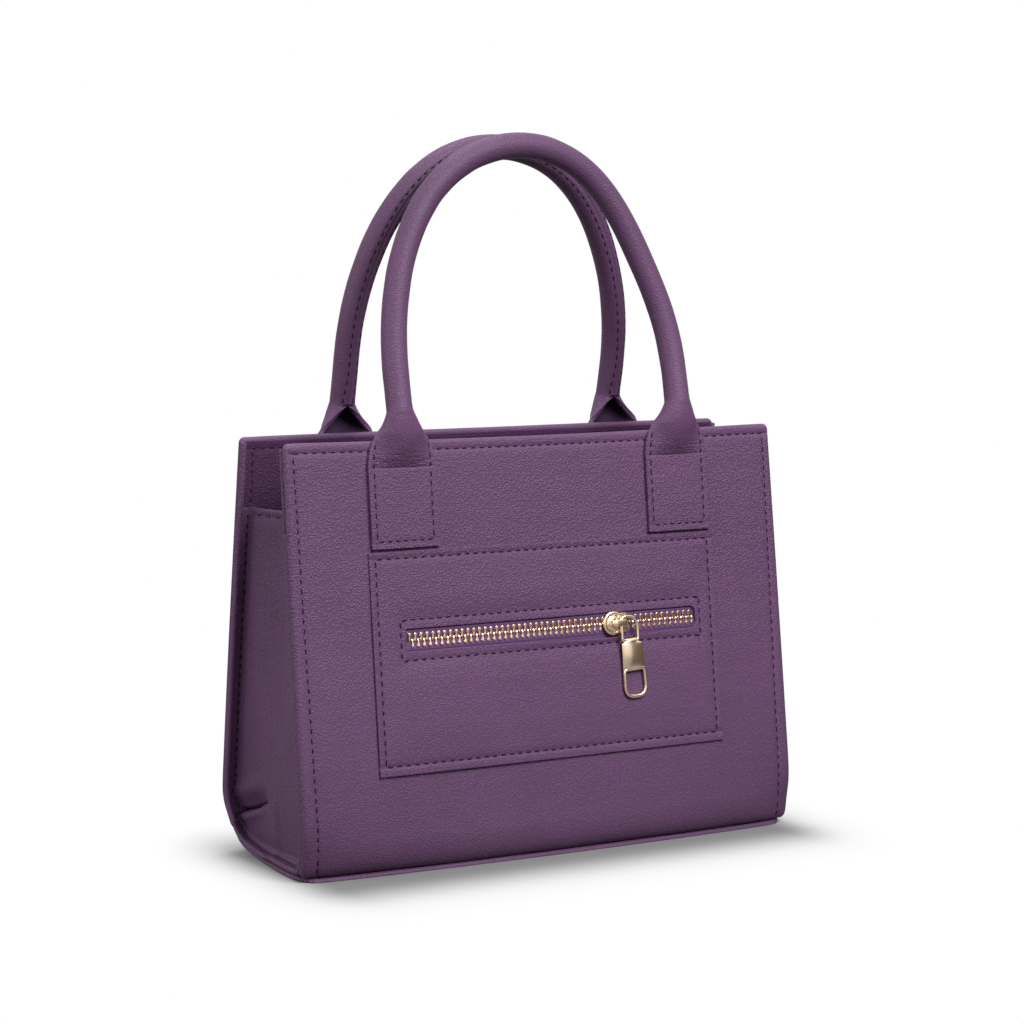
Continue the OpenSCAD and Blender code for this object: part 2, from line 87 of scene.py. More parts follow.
# The lean of the faces, and the radius of the fold into the base
SIN_L, COS_L = (-c for c in JOINTS["bail_swing"]["axis"][1:])
LEAN = math.asin(SIN_L)
FOLD_R = 12.0


def top_edge():
    """Height and distance from the middle of the panels' outer top edge."""
    points = [in_mm(v.co) for v in frame["nodes"]["back_panel"].data.vertices]
    high = max(p[2] for p in points)
    return high, max(p[1] for p in points if p[2] > high - 0.05)


BODY_H, HALF_TOP = top_edge()
FOLD_Y = HALF_TOP + (BODY_H - FOLD_R) * math.tan(LEAN) - FOLD_R / COS_L
STRAIGHT = (BODY_H - FOLD_R - FOLD_R * SIN_L) / COS_L
ARC = FOLD_R * (math.pi / 2 + LEAN)
HALF_GIRTH = STRAIGHT + ARC + FOLD_Y
PANEL_END = STRAIGHT + FOLD_R * (LEAN + math.asin(0.8))
TOP_W = 105.0
BELLY_Z = 30.0
ZIP_Z = 85.0
# Left, right, height and corner radius of the window in the pocket, and how
# far the opening behind it reaches past its ends and on both sides of the chain
WINDOW = (-61.75, 65.25, 8.2, 2.4)
HOLE_SIDE, HOLE_UP = 7, 8
# Left, right, low and high edge of the pocket
POCKET = (-75.2, 75.2, 36.3, 117.5)
CREASE_Z = 148.0
STITCH = 3.6
LEATHER_T = 1.1
# How far the middle of each layer lies behind the outside of the panels
BOARD_N, LINING_N, POUCH_N, FACING_N, BINDING_N = -1.85, -2.45, -3.0, -3.35, -3.85
# Places that are this close, in mm, are one
SEAM = 1e-3
# Edges that turn more than this are sharp
SHARP = math.radians(50)
WHITE = (1, 1, 1, 1)
FACES = (("front", False), ("back", True))
SIDES = (("left", -1), ("right", 1))


# Places on the bag, in mm


def half_width(z, front_left=False):
    """Half the width of the bag at a height. The front's left edge stands
    straighter than the others."""
    share = unit((z - BELLY_Z) / (BODY_H - BELLY_Z))
    width = TOP_W + 2 * (1 - share**1.4)
    if z < BELLY_Z:
        width -= 0.8 * ((BELLY_Z - z) / BELLY_Z) ** 2
    return width - 1.3 + 2.1 * share if front_left else width


def round_body(g, n):
    """Distance from the middle and height, g down the outside from the top."""
    if g <= STRAIGHT:
        return (
            HALF_TOP + g * SIN_L + n * COS_L,
            BODY_H - g * COS_L + n * SIN_L,
        )
    if g <= STRAIGHT + ARC:
        turn = LEAN - (g - STRAIGHT) / FOLD_R
        return (
            FOLD_Y + (FOLD_R + n) * math.cos(turn),
            FOLD_R + (FOLD_R + n) * math.sin(turn),
        )
    return FOLD_Y - (g - STRAIGHT - ARC), -n


def down_to(z):
    """Distance down the straight face from the top edge to a height."""
    return (BODY_H - z) / COS_L


def sag(p):
    """The full belly near the base, the tucked corners and the lifted ends."""
    x, y, z = p
    front = y < 0
    out, down = -y - FOLD_Y, FOLD_R - z
    if out > 0 and down > 0:
        # The front folds under more sharply than the back
        far = math.hypot(out, down)
        y = -FOLD_Y - far * (out / far) ** 0.68
        z = FOLD_R - far * (down / far) ** 0.68
    share = min(1, abs(y) / 30) ** 2
    end = min(1.05, abs(x) / 107)
    belly = 3.2 * (1 - end**2) + (0.015 * x if front else 0)
    belly *= math.exp(-max(z, 0) / 19) * share
    tuck = 2.7 * bell((z - 8) / 8) if front else 4.4 * bell((z - 7) / 9)
    tuck *= end**10 * share
    lift = 0.0026 * max(0, y + 22) ** 2 + 0.2 * max(0, y - 19)
    lift *= end**8 * max(0, 1 - z / 40) ** 2
    # The front's top edge dips a little between its corners
    dip = 0.75 * max(0, 1 - (x / 98) ** 2) * eased((z - 110) / 45) if front else 0
    return Vector((x, y + (belly - tuck) * (-1 if front else 1), z + lift - dip))


def outside(a, g, n, back=False):
    """A point a from the middle and g down from the top, raised n."""
    y, z = round_body(g, n)
    wide = half_width(z, a < 0 and not back)
    x = a + math.copysign((abs(a) / TOP_W) ** 6 * (wide - TOP_W), a)
    return sag((x, y if back else -y, z))


def own_face(g):
    """Distance down the face it is on, of a place given down the front, on past
    the middle of the base and up the back, and whether that face is the back."""
    back = g > HALF_GIRTH
    return (2 * HALF_GIRTH - g if back else g), back


def rolled(t, radius):
    """How far an edge goes out and drops, t past where it starts to roll."""
    if t <= 0:
        return t, 0
    if t < math.pi * radius:
        return radius * math.sin(t / radius), radius * (1 - math.cos(t / radius))
    return math.pi * radius - t, 2 * radius


def turned_edge(a, b, edges, corner, radius):
    """A flat point after the edges of its rectangle are turned over."""
    left, right, low, high = edges
    reach = [0, 0]
    base = [a, b]
    for i, (value, lo, hi) in enumerate(((a, left, right), (b, low, high))):
        if value > hi - corner:
            reach[i], base[i] = value - (hi - corner), hi - corner
        elif value < lo + corner:
            reach[i], base[i] = value - (lo + corner), lo + corner
    far = math.hypot(*reach)
    if far < 1e-9:
        return a, b, 0
    out, drop = rolled(far - corner + radius, radius)
    out += corner - radius
    return base[0] + reach[0] / far * out, base[1] + reach[1] / far * out, -drop


def uneven(p, size, seed=0):
    """Soft unevenness of hand-worked leather, from -1 to 1."""
    return noise.noise(Vector((p[0] / size, p[1] / size, seed * 7.3)))


# Pieces cut flat, then laid on the bag


def ladder(*marks):
    """Stations between marks, each mark given with the step that follows it."""
    found = []
    for (a, step), (b, _) in zip(marks, marks[1:]):
        count = max(1, math.ceil((b - a) / step - 1e-6))
        found += [a + (b - a) * i / count for i in range(count)]
    return found + [marks[-1][0]]


def both_ways(half):
    """Stations mirrored about nought."""
    return sorted({round(s * v, 5) for v in half for s in (-1, 1)})


def both_faces(half):
    """Stations down the front and up the back."""
    return sorted({round(v, 5) for g in half for v in (g, 2 * HALF_GIRTH - g)})


def round_about(sides):
    """Stations round a tube."""
    return [math.tau * k / sides for k in range(sides + 1)]


def flat_grid(across, down):
    bm = bmesh.new()
    bmesh.ops.create_grid(
        bm, x_segments=len(across) - 1, y_segments=len(down) - 1, size=0.5
    )
    for v in bm.verts:
        i = round((v.co.x + 0.5) * (len(across) - 1))
        j = round((v.co.y + 0.5) * (len(down) - 1))
        v.co = (across[i], down[j], 0)
    return bm


def lay(bm, where):
    for v in bm.verts:
        v.co = where(*v.co)
    return bm


def cut_window(bm, left, right, low, high, corner=0):
    """Opens a rectangle whose right corners are rounded."""
    inside = [
        f
        for f in bm.faces
        if left < f.calc_center_median().x < right
        and low < f.calc_center_median().y < high
    ]
    bmesh.ops.delete(bm, geom=inside, context="FACES")
    if corner:
        middle = (low + high) / 2
        for v in bm.verts:
            if not v.is_boundary or not (left - 1 < v.co.x < right + 0.01):
                continue
            side = 1 if v.co.y > middle else -1
            edge = high if side > 0 else low
            centre = Vector((right - corner, edge - side * corner, 0))
            off = v.co - centre
            if off.x > 0 and off.y * side > 0 and low - 0.01 < v.co.y < high + 0.01:
                v.co = centre + off.normalized() * corner


def behind_zipper(across, down, back):
    """A flat sheet, the front one opened behind the zipper."""
    if back:
        return flat_grid(across, down)
    left, right = WINDOW[0] - HOLE_SIDE, WINDOW[1] + HOLE_SIDE
    low, high = down_to(ZIP_Z + HOLE_UP), down_to(ZIP_Z - HOLE_UP)
    bm = flat_grid(sorted({*across, left, right}), sorted({*down, low, high}))
    cut_window(bm, left, right, low, high)
    return bm


def capped(bm):
    """A laid tube with its seam joined and its ends filled."""
    bmesh.ops.remove_doubles(bm, verts=bm.verts, dist=SEAM)
    bmesh.ops.holes_fill(bm, edges=[e for e in bm.edges if e.is_boundary])
    return bm


def groove(distance, depth=0.35, width=0.9):
    return -depth * bell(distance / width)


def placed(name, bm, *materials):
    """An object in the scene from a mesh in metres."""
    mesh = bpy.data.meshes.new(name)
    bm.to_mesh(mesh)
    bm.free()
    for made in materials:
        mesh.materials.append(made)
    obj = bpy.data.objects.new(name, mesh)
    bpy.context.collection.objects.link(obj)
    return obj


def finished(
    name, bm, look, body="bag", wall=0, round_edge=0, steps=2, merge=1e-4, back=None
):
    """Makes a piece from a mesh in mm, walled, rounded, smooth and riding."""
    if merge:
        bmesh.ops.remove_doubles(bm, verts=bm.verts, dist=merge)
    bmesh.ops.transform(bm, matrix=Matrix.Scale(MM, 4), verts=bm.verts)
    bmesh.ops.recalc_face_normals(bm, faces=bm.faces)
    # The reverse of a wall takes the look that follows its own
    obj = placed(name, bm, *((look, back, look, look) if back else (look,)))
    if wall:
        shell = obj.modifiers.new("wall", "SOLIDIFY")
        shell.thickness = wall * MM
        shell.offset = 0
        shell.material_offset = 1 if back else 0
    if round_edge:
        edge = obj.modifiers.new("edge", "BEVEL")
        edge.width = round_edge * MM
        edge.segments = steps
        edge.limit_method = "ANGLE"
        edge.angle_limit = SHARP
    if obj.modifiers:
        view = bpy.context.evaluated_depsgraph_get()
        made = bpy.data.meshes.new_from_object(obj.evaluated_get(view))
        obj.modifiers.clear()
        obj.data = made
    obj.data.shade_smooth()
    obj.data.set_sharp_from_angle(angle=SHARP)
    if body:
        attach(obj, body)
    return obj


def sew(bm, where, start, end, n=0.1, seed=1):
    """A row of stitches between two flat points."""
    rng = random.Random(seed)
    a, b = Vector((*start, 0)), Vector((*end, 0))
    run = (b - a).length
    count = max(1, round(run / STITCH))
    along = (b - a) / run
    for i in range(count):
        mid = a + along * run * (i + 0.5) / count
        mid += Vector((rng.uniform(-0.06, 0.06), rng.uniform(-0.06, 0.06), 0))
        put_stitch(bm, where, mid, along, n)


def put_stitch(bm, where, mid, along, n, length=0, width=0):
    length = length or sizes().stitch / MM
    width = width or sizes().thread / MM
    ahead = where(*(mid + along * 0.4).xy, n)
    behind = where(*(mid - along * 0.4).xy, n)
    centre = where(*mid.xy, n)
    tangent = (ahead - behind).normalized()
    up = (where(*mid.xy, n + 0.2) - centre).normalized()
    side = tangent.cross(up).normalized()
    up = side.cross(tangent)
    turn = Matrix((tangent, side, up)).transposed().to_4x4()
    size = Matrix.Diagonal((length / 2, width / 2, width * 0.42, 1))
    place = Matrix.Translation(centre) @ turn @ size @ Matrix.Rotation(math.pi / 2, 4, "Y")
    bmesh.ops.create_uvsphere(bm, u_segments=6, v_segments=5, radius=1, matrix=place)


# Materials


def linear(hex_colour):
    """Linear colour from an sRGB hex value."""
    parts = [int(hex_colour[i : i + 2], 16) / 255 for i in (1, 3, 5)]
    return [c / 12.92 if c <= 0.04045 else ((c + 0.055) / 1.055) ** 2.4 for c in parts] + [1]


def add(owner, kind, inputs=None, **settings):
    """Adds a node with its settings, and values or links for its sockets."""
    node = owner.node_tree.nodes.new("ShaderNode" + kind)
    for key, value in settings.items():
        setattr(node, key, value)
    for key, value in (inputs or {}).items():
        if isinstance(value, bpy.types.NodeSocket):
            owner.node_tree.links.new(value, node.inputs[key])
        else:
            node.inputs[key].default_value = value
    return node.outputs


# The sockets that map a value from one range to another, in order
RANGE = ("Value", "From Min", "From Max", "To Min", "To Max")


def surface(owner, colour, roughness, height, strength, distance, **inputs):
    """The surface shader over a bump, and its output."""
    bump = add(owner, "Bump", {"Height": height, "Strength": strength, "Distance": distance})[0]
    inputs.update({"Base Color": colour, "Roughness": roughness, "Normal": bump})
    add(owner, "OutputMaterial", {"Surface": add(owner, "BsdfPrincipled", inputs)[0]})


def material(name):
    """Turns a function that draws a material's nodes into one that gives the
    material, drawn the first time."""

    def given_by(draw):
        def give():
            made = bpy.data.materials.get(name)
            if not made:
                made = bpy.data.materials.new(name)
                made.use_nodes = True
                made.node_tree.nodes.clear()
                draw(made, add(made, "TexCoord")["Object"])
            return made

        return give

    return given_by


def grained_leather(made, place, colour, roughness):
    """Pebbled leather under a satin polyurethane skin: rounded pebbles that
    catch the light, with duller creases between them. Painted shade darkens
    the creases and a painted highlight lightens the pebbles' tops. Towards the
    base the skin is stretched and the pebbles are flatter."""
    grain = sizes().grain
    stir = add(made, "TexNoise", {"Vector": place, "Scale": 0.5 / grain, "Detail": 1.0})["Color"]
    bend = {0: stir, 1: (grain * 0.25,) * 3, 2: place}
    bent = add(made, "VectorMath", bend, operation="MULTIPLY_ADD")[0]
    cells = add(made, "TexVoronoi", {"Vector": bent, "Scale": 1 / grain, "Randomness": 0.8})
    z = add(made, "SeparateXYZ", {"Vector": place})["Z"]
    # Rounded pebbles, stretched flat towards the base. Drawn tight round the
    # cord of the handles, the skin is smoother again
    pebble, stretched, taut = (
        add(made, "MapRange", dict(zip(RANGE, row)), interpolation_type="SMOOTHSTEP")[0]
        for row in (
            (cells["Distance"], 0.0, 0.64, 1.0, 0.0),
            (z, 0.05, 0.13, 0.5, 1.0),
            (z, 0.147, 0.162, 1.0, 0.4),
        )
    )
    fine = add(made, "TexNoise", {"Vector": place, "Scale": 2.6 / grain, "Detail": 1.0})[0]
    height = add(made, "Math", {0: fine, 1: 0.16, 2: pebble}, operation="MULTIPLY_ADD")[0]
    relief = add(made, "Math", {0: stretched, 1: taut}, operation="MULTIPLY")[0]
    # Painted shade in the creases between the pebbles and a painted highlight on their tops, both fading
    # where the relief is lower: towards the base and round the handles' cord
    painted_crease_shade, painted_peak_highlight = (
        add(made, "Math", {0: relief, 1: by, 2: start}, operation="MULTIPLY_ADD")[0]
        for by, start in ((-0.3, 1.0), (0.16, 0.96))
    )
    shade = add(made, "MapRange", dict(zip(RANGE, (pebble, 0.0, 0.6, painted_crease_shade, painted_peak_highlight))))[0]
    broad = add(made, "TexNoise", {"Vector": place, "Scale": 1 / (18 * MM), "Detail": 2.0})[0]
    # Its tone drifts a little at random. Painted shade darkens it higher up, over the handles above 0.15
    # m, and low down near the base
    for row in (
        (broad, 0.3, 0.7, 0.96, 1.04),
        (z, 0.15, 0.25, 1.0, 0.7),
        (z, 0.008, 0.055, 0.8, 1.0),
    ):
        other = add(made, "MapRange", dict(zip(RANGE, row)))[0]
        shade = add(made, "Math", {0: shade, 1: other}, operation="MULTIPLY")[0]
    tint = {0: list(colour)[:3], "Scale": shade}
    tinted = add(made, "VectorMath", tint, operation="SCALE")[0]
    limits = (pebble, 0.0, 1.0, roughness + 0.16, roughness - 0.06)
    rough = add(made, "MapRange", dict(zip(RANGE, limits)))[0]
    surface(made, tinted, rough, height, relief, grain * 0.3, IOR=1.42)


@material("pebbled_leather_purple")
def body_leather(made, place):
    grained_leather(made, place, colours().leather, 0.46)


# The facings inside the mouth take a darker copy of the outer leather: the darker colour is painted
# shade
@material("pebbled_leather_inner")
def inner_leather_painted_shade(made, place):
    grained_leather(made, place, colours().inner, 0.6)


@material("knitted_backing_dark")
def backing_with_painted_shade(made, place):
    """The knitted backing on the reverse of the leather: matt, and dark; its darkness is partly painted
    shade for the hollow inside the handles where they open above the tabs.
    """
    knit = add(made, "TexNoise", {"Vector": place, "Scale": 1 / (0.4 * MM), "Detail": 2.0})[0]
    surface(made, linear("#43304b"), 0.95, knit, 0.5, 0.1 * MM, IOR=1.3)


@material("polyester_thread_dark")
def sewing_thread(made, place):
    """Bonded polyester thread: dull, dark, with a fine twist."""
    twist = add(made, "TexNoise", {"Vector": place, "Scale": 1 / (0.25 * MM), "Detail": 1.0})[0]
    surface(made, list(colours().thread), 0.85, twist, 0.4, 0.08 * MM, IOR=1.3)


@material("polyester_lining_twill")
def lining_twill(made, place):
    """Polyester lining twill: a fine diagonal rib with a faint sheen."""
    pattern = {"Vector": place, "Scale": 1 / (1.6 * MM) / 6.28, "Distortion": 0.3, "Detail": 1.0}
    rib = add(made, "TexWave", pattern, bands_direction="DIAGONAL")[0]
    sheen = {"Sheen Weight": 0.2}
    surface(made, list(colours().lining), 0.72, rib, 0.5, 0.1 * MM, **sheen)


@material("polyester_zipper_tape")
def woven_tape(made, place):
    """Polyester zipper tape: tight cross weave, dull."""
    warp, weft = (
        add(made, "TexWave", {"Vector": place, "Scale": 1 / (pitch * MM) / 6.28}, bands_direction=way)[1]
        for pitch, way in ((0.7, "X"), (0.5, "Z"))
    )
    weave = add(made, "Math", {0: warp, 1: weft}, operation="MULTIPLY")[0]
    surface(made, list(colours().tape), 0.8, weave, 0.6, 0.12 * MM)


def tumbled(made, place, colour, roughness):
    """Plated zinc alloy tumbled to a soft polish: clear reflections that wear
    leaves slightly clouded."""
    wear = add(made, "TexNoise", {"Vector": place, "Scale": 1 / (0.6 * MM), "Detail": 3.0})[0]
    limits = (wear, 0.0, 1.0, roughness - 0.08, roughness + 0.12)
    rough = add(made, "MapRange", dict(zip(RANGE, limits)))[0]
    surface(made, colour, rough, wear, 0.25, 0.05 * MM, Metallic=1.0)


@material("zinc_light_gold_polished")
def plated_zinc(made, place):
    tumbled(made, place, list(colours().gold), 0.2)


@material("zinc_satin_nickel")
def satin_nickel(made, place):
    tumbled(made, place, linear("#b8b0a0"), 0.35)


@material("zinc_light_gold_brushed")
def brushed_zinc(made, place):
    """The gold plating over a face brushed up and down: fine upright lines
    that draw the highlight out."""
    drawn = add(made, "VectorMath", {0: place, 1: (1.0, 1.0, 0.06)}, operation="MULTIPLY")[0]
    lines = add(made, "TexNoise", {"Vector": drawn, "Scale": 1 / (0.16 * MM), "Detail": 3.0})[0]
    rough = add(made, "MapRange", dict(zip(RANGE, (lines, 0.0, 1.0, 0.12, 0.34))))[0]
    surface(made, list(colours().gold), rough, lines, 0.2, 0.03 * MM, Metallic=1.0)


@material("pressed_grey_board")
def grey_board(made, place):
    """Grey board: pressed paper fibre, matt and slightly mottled."""
    fibre = add(made, "TexNoise", {"Vector": place, "Scale": 1 / (1.5 * MM), "Detail": 4.0})[0]
    surface(made, linear("#b9a98c"), 0.9, fibre, 0.3, 0.1 * MM)


@material("twisted_cotton_cord")
def cotton_cord(made, place):
    """Twisted cotton filler cord: off-white strands."""
    pattern = {"Vector": place, "Scale": 1 / (3 * MM) / 6.28, "Distortion": 1.0}
    strand = add(made, "TexWave", pattern, bands_direction="DIAGONAL")[1]
    surface(made, linear("#d8d2c4"), 0.95, strand, 0.8, 0.5 * MM)


@material("white_paper_sweep")
def white_paper(made, place):
    """White paper sweep: matt near the bag, where it takes the shadow, with
    a painted shadow that darkens its colour closest to the bag, and blown
    out to white further away."""
    # How far a place lies outside of a rectangle under the bag
    for operation, by in (
        ("ADD", {1: (0, 0.012, 0)}),
        ("ABSOLUTE", {}),
        ("SUBTRACT", {1: (0.095, 0.03, 0)}),
        ("MAXIMUM", {1: (0, 0, 0)}),
        ("MULTIPLY", {1: (1.5, 1, 0)}),
    ):
        place = add(made, "VectorMath", {0: place, **by}, operation=operation)[0]
    far = add(made, "VectorMath", {0: place}, operation="LENGTH")["Value"]
    # How far out the paper fades to white, and its colour, which is darker near the bag: a painted
    # shadow added to the real one
    away, painted_shadow_colour = (
        add(made, "MapRange", dict(zip(RANGE, row)), interpolation_type="SMOOTHSTEP")[0]
        for row in ((far, 0.0, 0.062, 0.0, 1.0), (far, 0.0, 0.04, 0.3, 0.75))
    )
    paper, dull = (
        add(made, "BsdfDiffuse", {"Color": colour})[0] for colour in (painted_shadow_colour, linear("#3c3c3c"))
    )
    glow, sheen = (
        add(made, "Emission", {"Color": WHITE, "Strength": strength})[0] for strength in (1.0, 0.4)
    )
    # What the camera sees, what reflections see, and what other light meets
    ray = add(made, "LightPath")
    seen = add(made, "MixShader", {"Fac": away, 1: paper, 2: glow})[0]
    bounced = add(made, "MixShader", {"Fac": ray["Is Glossy Ray"], 1: dull, 2: sheen})[0]
    whole = add(made, "MixShader", {"Fac": ray["Is Camera Ray"], 1: bounced, 2: seen})[0]
    add(made, "OutputMaterial", {"Surface": whole})


@material("flag_painted_reflection")
def flag_reflection_glow(made, _):
    # A dim grey glow, not lit by the lamps: a painted dark reflection for the metal and the leather
    dark = add(made, "Emission", {"Color": linear("#62574f"), "Strength": 1.0})[0]
    add(made, "OutputMaterial", {"Surface": dark})


# Sizes and colours that a user would change


def size_choice(name, description, length):
    return bpy.props.FloatProperty(
        name=name, description=description, default=length * MM, unit="LENGTH", precision=5
    )


def colour_choice(name, description, hex_colour):
    return bpy.props.FloatVectorProperty(
        name=name,
        description=description,
        subtype="COLOR",
        size=4,
        min=0,
        max=1,
        default=linear(hex_colour),
    )


class BagSizes(bpy.types.PropertyGroup):
    grain: size_choice("Grain", "Width of one pebble of the leather", 0.88)
    stitch: size_choice("Stitch", "Length of thread that shows in one stitch", 2.3)
    thread: size_choice("Thread", "Thickness of the sewing thread", 0.78)


class BagColours(bpy.types.PropertyGroup):
    leather: colour_choice("Leather", "Outer leather", "#6f4b71")
    # The inner leather is darker than the outer: painted shade inside the mouth
    inner: colour_choice("Inner leather", "Leather facings inside the mouth", "#4c2a50")
    thread: colour_choice("Thread", "Sewing thread", "#2a1032")
    lining: colour_choice("Lining", "Twill inside the bag", "#35253d")
    tape: colour_choice("Zipper tape", "Woven tape beside the teeth", "#654470")
    gold: colour_choice("Metal", "Light gold plating", "#f5ddc0")


def colours():
    return bpy.context.scene.bag_colours


def sizes():
    return bpy.context.scene.bag_sizes


class PieceOperator:
    bl_options = {"REGISTER", "UNDO"}


EDGE_R = 1.1
PANEL_ROW = 3.2


def side_row(g):
    """Where the side rows of stitches run, out from the middle."""
    return TOP_W - 2.7 - 2.2 * g / PANEL_END


def panel_where(back):
    edges = (-TOP_W, TOP_W, 0, PANEL_END)

    def where(a, g, n=0):
        radius = 0.6 + (EDGE_R - 0.6) * eased((abs(a) - 92) / 10)
        a2, g2, drop = turned_edge(a, g, edges, 1.6, radius)
        inner = max(0, 1 - (abs(a) / 104) ** 8)
        n2 = -LEATHER_T / 2 + drop + n
        n2 += 0.4 * uneven((a, g), 34, 1 + back) * inner
        if drop > -0.05:
            n2 += groove(g - PANEL_ROW, 0.42)
            n2 += groove(side_row(g) - abs(a), 0.42) * (g > 3)
        return outside(a2, max(0.0, g2), n2, back)

    return where


def binding_where(side, back):
    """The folded edge behind each side of a panel, where its facing and the
    gusset's flange end."""

    def where(turn, g, n=0):
        size = 1.1 * min(1, 0.5 + g / 3) + n
        p = outside(side * TOP_W, g, BINDING_N + size * math.sin(turn), back)
        p.x += side * (size * math.cos(turn) - 0.4)
        return p

    return where


def panel_stations():
    side = ladder((0, 2.6), (96, 1.5), (98.6, 0.45), (103.4, 0.27), (107.2, 2.3), (111.5, 1))
    top = ((-6.5, 2.3), (-2.0, 0.37), (0.7, 0.6), (2.0, 0.45), (4.4, 1.5), (8, 2.5), (140, 1.6))
    end = ((PANEL_END - 0.7, 0.37), (PANEL_END + 2.0, 2), (PANEL_END + 5.5, 1))
    return both_ways(side), ladder(*top, *end)


class BAG_OT_panels(PieceOperator, bpy.types.Operator):
    """Front and back panels with turned edges and their rows of stitches"""

    bl_idname = "bag.panels"
    bl_label = "Panels"

    def execute(self, context):
        for name, back in FACES:
            where = panel_where(back)
            bm = lay(behind_zipper(*panel_stations(), back), where)
            made = finished(
                f"{name}_panel_leather", bm, body_leather(), wall=LEATHER_T
            )
            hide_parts(f"{name}_panel")
            bm = bmesh.new()
            sew(bm, where, (-103, PANEL_ROW), (103, PANEL_ROW), n=0.5)
            for side in (-1, 1):
                ends = [(side * side_row(g), g) for g in (PANEL_ROW + 1, PANEL_END - 3)]
                sew(bm, where, *ends, n=0.5)
            finished(f"{name}_panel_stitches", bm, sewing_thread(), merge=0)
            for end, side in SIDES:
                self.binding(f"{name}_binding_{end}", side, back)
        return {"FINISHED"}

    def binding(self, name, side, back):
        down = ladder((1.0, 0.7), (4, 3), (STRAIGHT - 6, 1.4), (PANEL_END - 2, 1))
        bm = capped(lay(flat_grid(round_about(14), down), binding_where(side, back)))
        finished(name, bm, body_leather(), merge=0)


class BAG_OT_base(PieceOperator, bpy.types.Operator):
    """Bottom strip with turned edges"""

    bl_idname = "bag.base"
    bl_label = "Base"

    def execute(self, context):
        long = both_ways(ladder((0, 3), (98, 1.3), (104.5, 0.3), (106.5, 2), (110.3, 1)))
        deep = both_ways(ladder((0, 3), (27, 1.2), (30.2, 0.3), (32.2, 2), (36, 1)))
        half_long, half_deep, corner, hem = 105.5, 31.2, 7.0, 0.5
        edges = (-half_long, half_long, -half_deep, half_deep)

        def where(x, y, n=0):
            x2, y2, drop = turned_edge(x, y, edges, corner, hem)
            return sag((x2, y2, 0.5 - drop - n))

        bm = lay(flat_grid(long, deep), where)
        made = finished("base_leather", bm, body_leather(), wall=0.98)
        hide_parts("bottom_panel")
        return {"FINISHED"}


class BAG_OT_boards(PieceOperator, bpy.types.Operator):
    """Stiffening boards between the leather and the lining"""

    bl_idname = "bag.boards"
    bl_label = "Boards"

    def execute(self, context):
        across = both_ways(ladder((0, 6), (98, 1)))
        down = ladder((5, 5), (STRAIGHT - 6, 2), (PANEL_END - 6, 1))
        for name, back in FACES:
            bm = behind_zipper(across, down, back)
            lay(bm, lambda a, g, n, back=back: outside(a, g, BOARD_N, back))
            made = finished(f"{name}_stiffener", bm, grey_board(), wall=0.5)
            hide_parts(f"{name}_board")
        bm = flat_grid(across, both_ways(ladder((0, 4), (24, 1))))
        lay(bm, lambda x, y, n: sag((x, y, 3.0)))
        made = finished("base_stiffener", bm, grey_board(), wall=0.9)
        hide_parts("base_board")
        return {"FINISHED"}


FLANGE_N = -3.9
GUSSET_IN = 5.5
GUSSET_TOP = 132.0
GUSSET_ROW = 3.0
# The gusset's top is turned over with this radius, and stitched below it
HEM_R, HEM_ROW = 0.5, 1.7
# How far the grid runs in over the gusset's face, and how high it ends there
FACE_IN = 10
POLE_Z = 34.0
# The pucker where the gusset is gathered into the corner: depth y, height z
PUCKER = ((33.5, 14.4), (31.8, 15.0), (26, 16.4), (21, 17.7), (15.5, 19.6), (12.2, 20.7))


def off_line(points, y, z):
    """Signed distance above a line of points, and how far along it."""
    best = (1e9, 0, 0)
    for i, ((y0, z0), (y1, z1)) in enumerate(zip(points, points[1:])):
        dy, dz = y1 - y0, z1 - z0
        share = unit(((y - y0) * dy + (z - z0) * dz) / (dy * dy + dz * dz))
        py, pz = y0 + dy * share, z0 + dz * share
        far = math.hypot(y - py, z - pz)
        if far < best[0]:
            best = (far, 1 if z > pz else -1, (i + share) / (len(points) - 1))
    return best[0] * best[1], best[2]


def puckered(y, z):
    """How far the gathered corner goes in, past its smooth shape."""
    far, along = off_line(PUCKER, abs(y), z)
    fade = 1 - max(0, along - 0.75) / 0.25 * 0.5
    if y < 0:
        fade *= eased((abs(y) - 19) / 7)
    deep = 4.6 * bell(far / 0.85) * fade
    if far > 0:
        deep += 4.6 * bell(far / 5.0) * along * fade
        deep -= 0.9 * bell((far - 7.5) / 3.0) * fade
    else:
        deep -= 1.1 * bell((far + 2.4) / 1.9) * fade
    return deep


def gusset_face(side, y, z, q):
    """How far a place on the gusset's face goes in from its plane."""
    deep = 2.8 * eased(q) * (0.3 + 0.7 * unit((z - 14) / 70))
    return deep + 0.55 * uneven((y, z * 0.6), 13, 5 + side) * min(1, 4 * q)


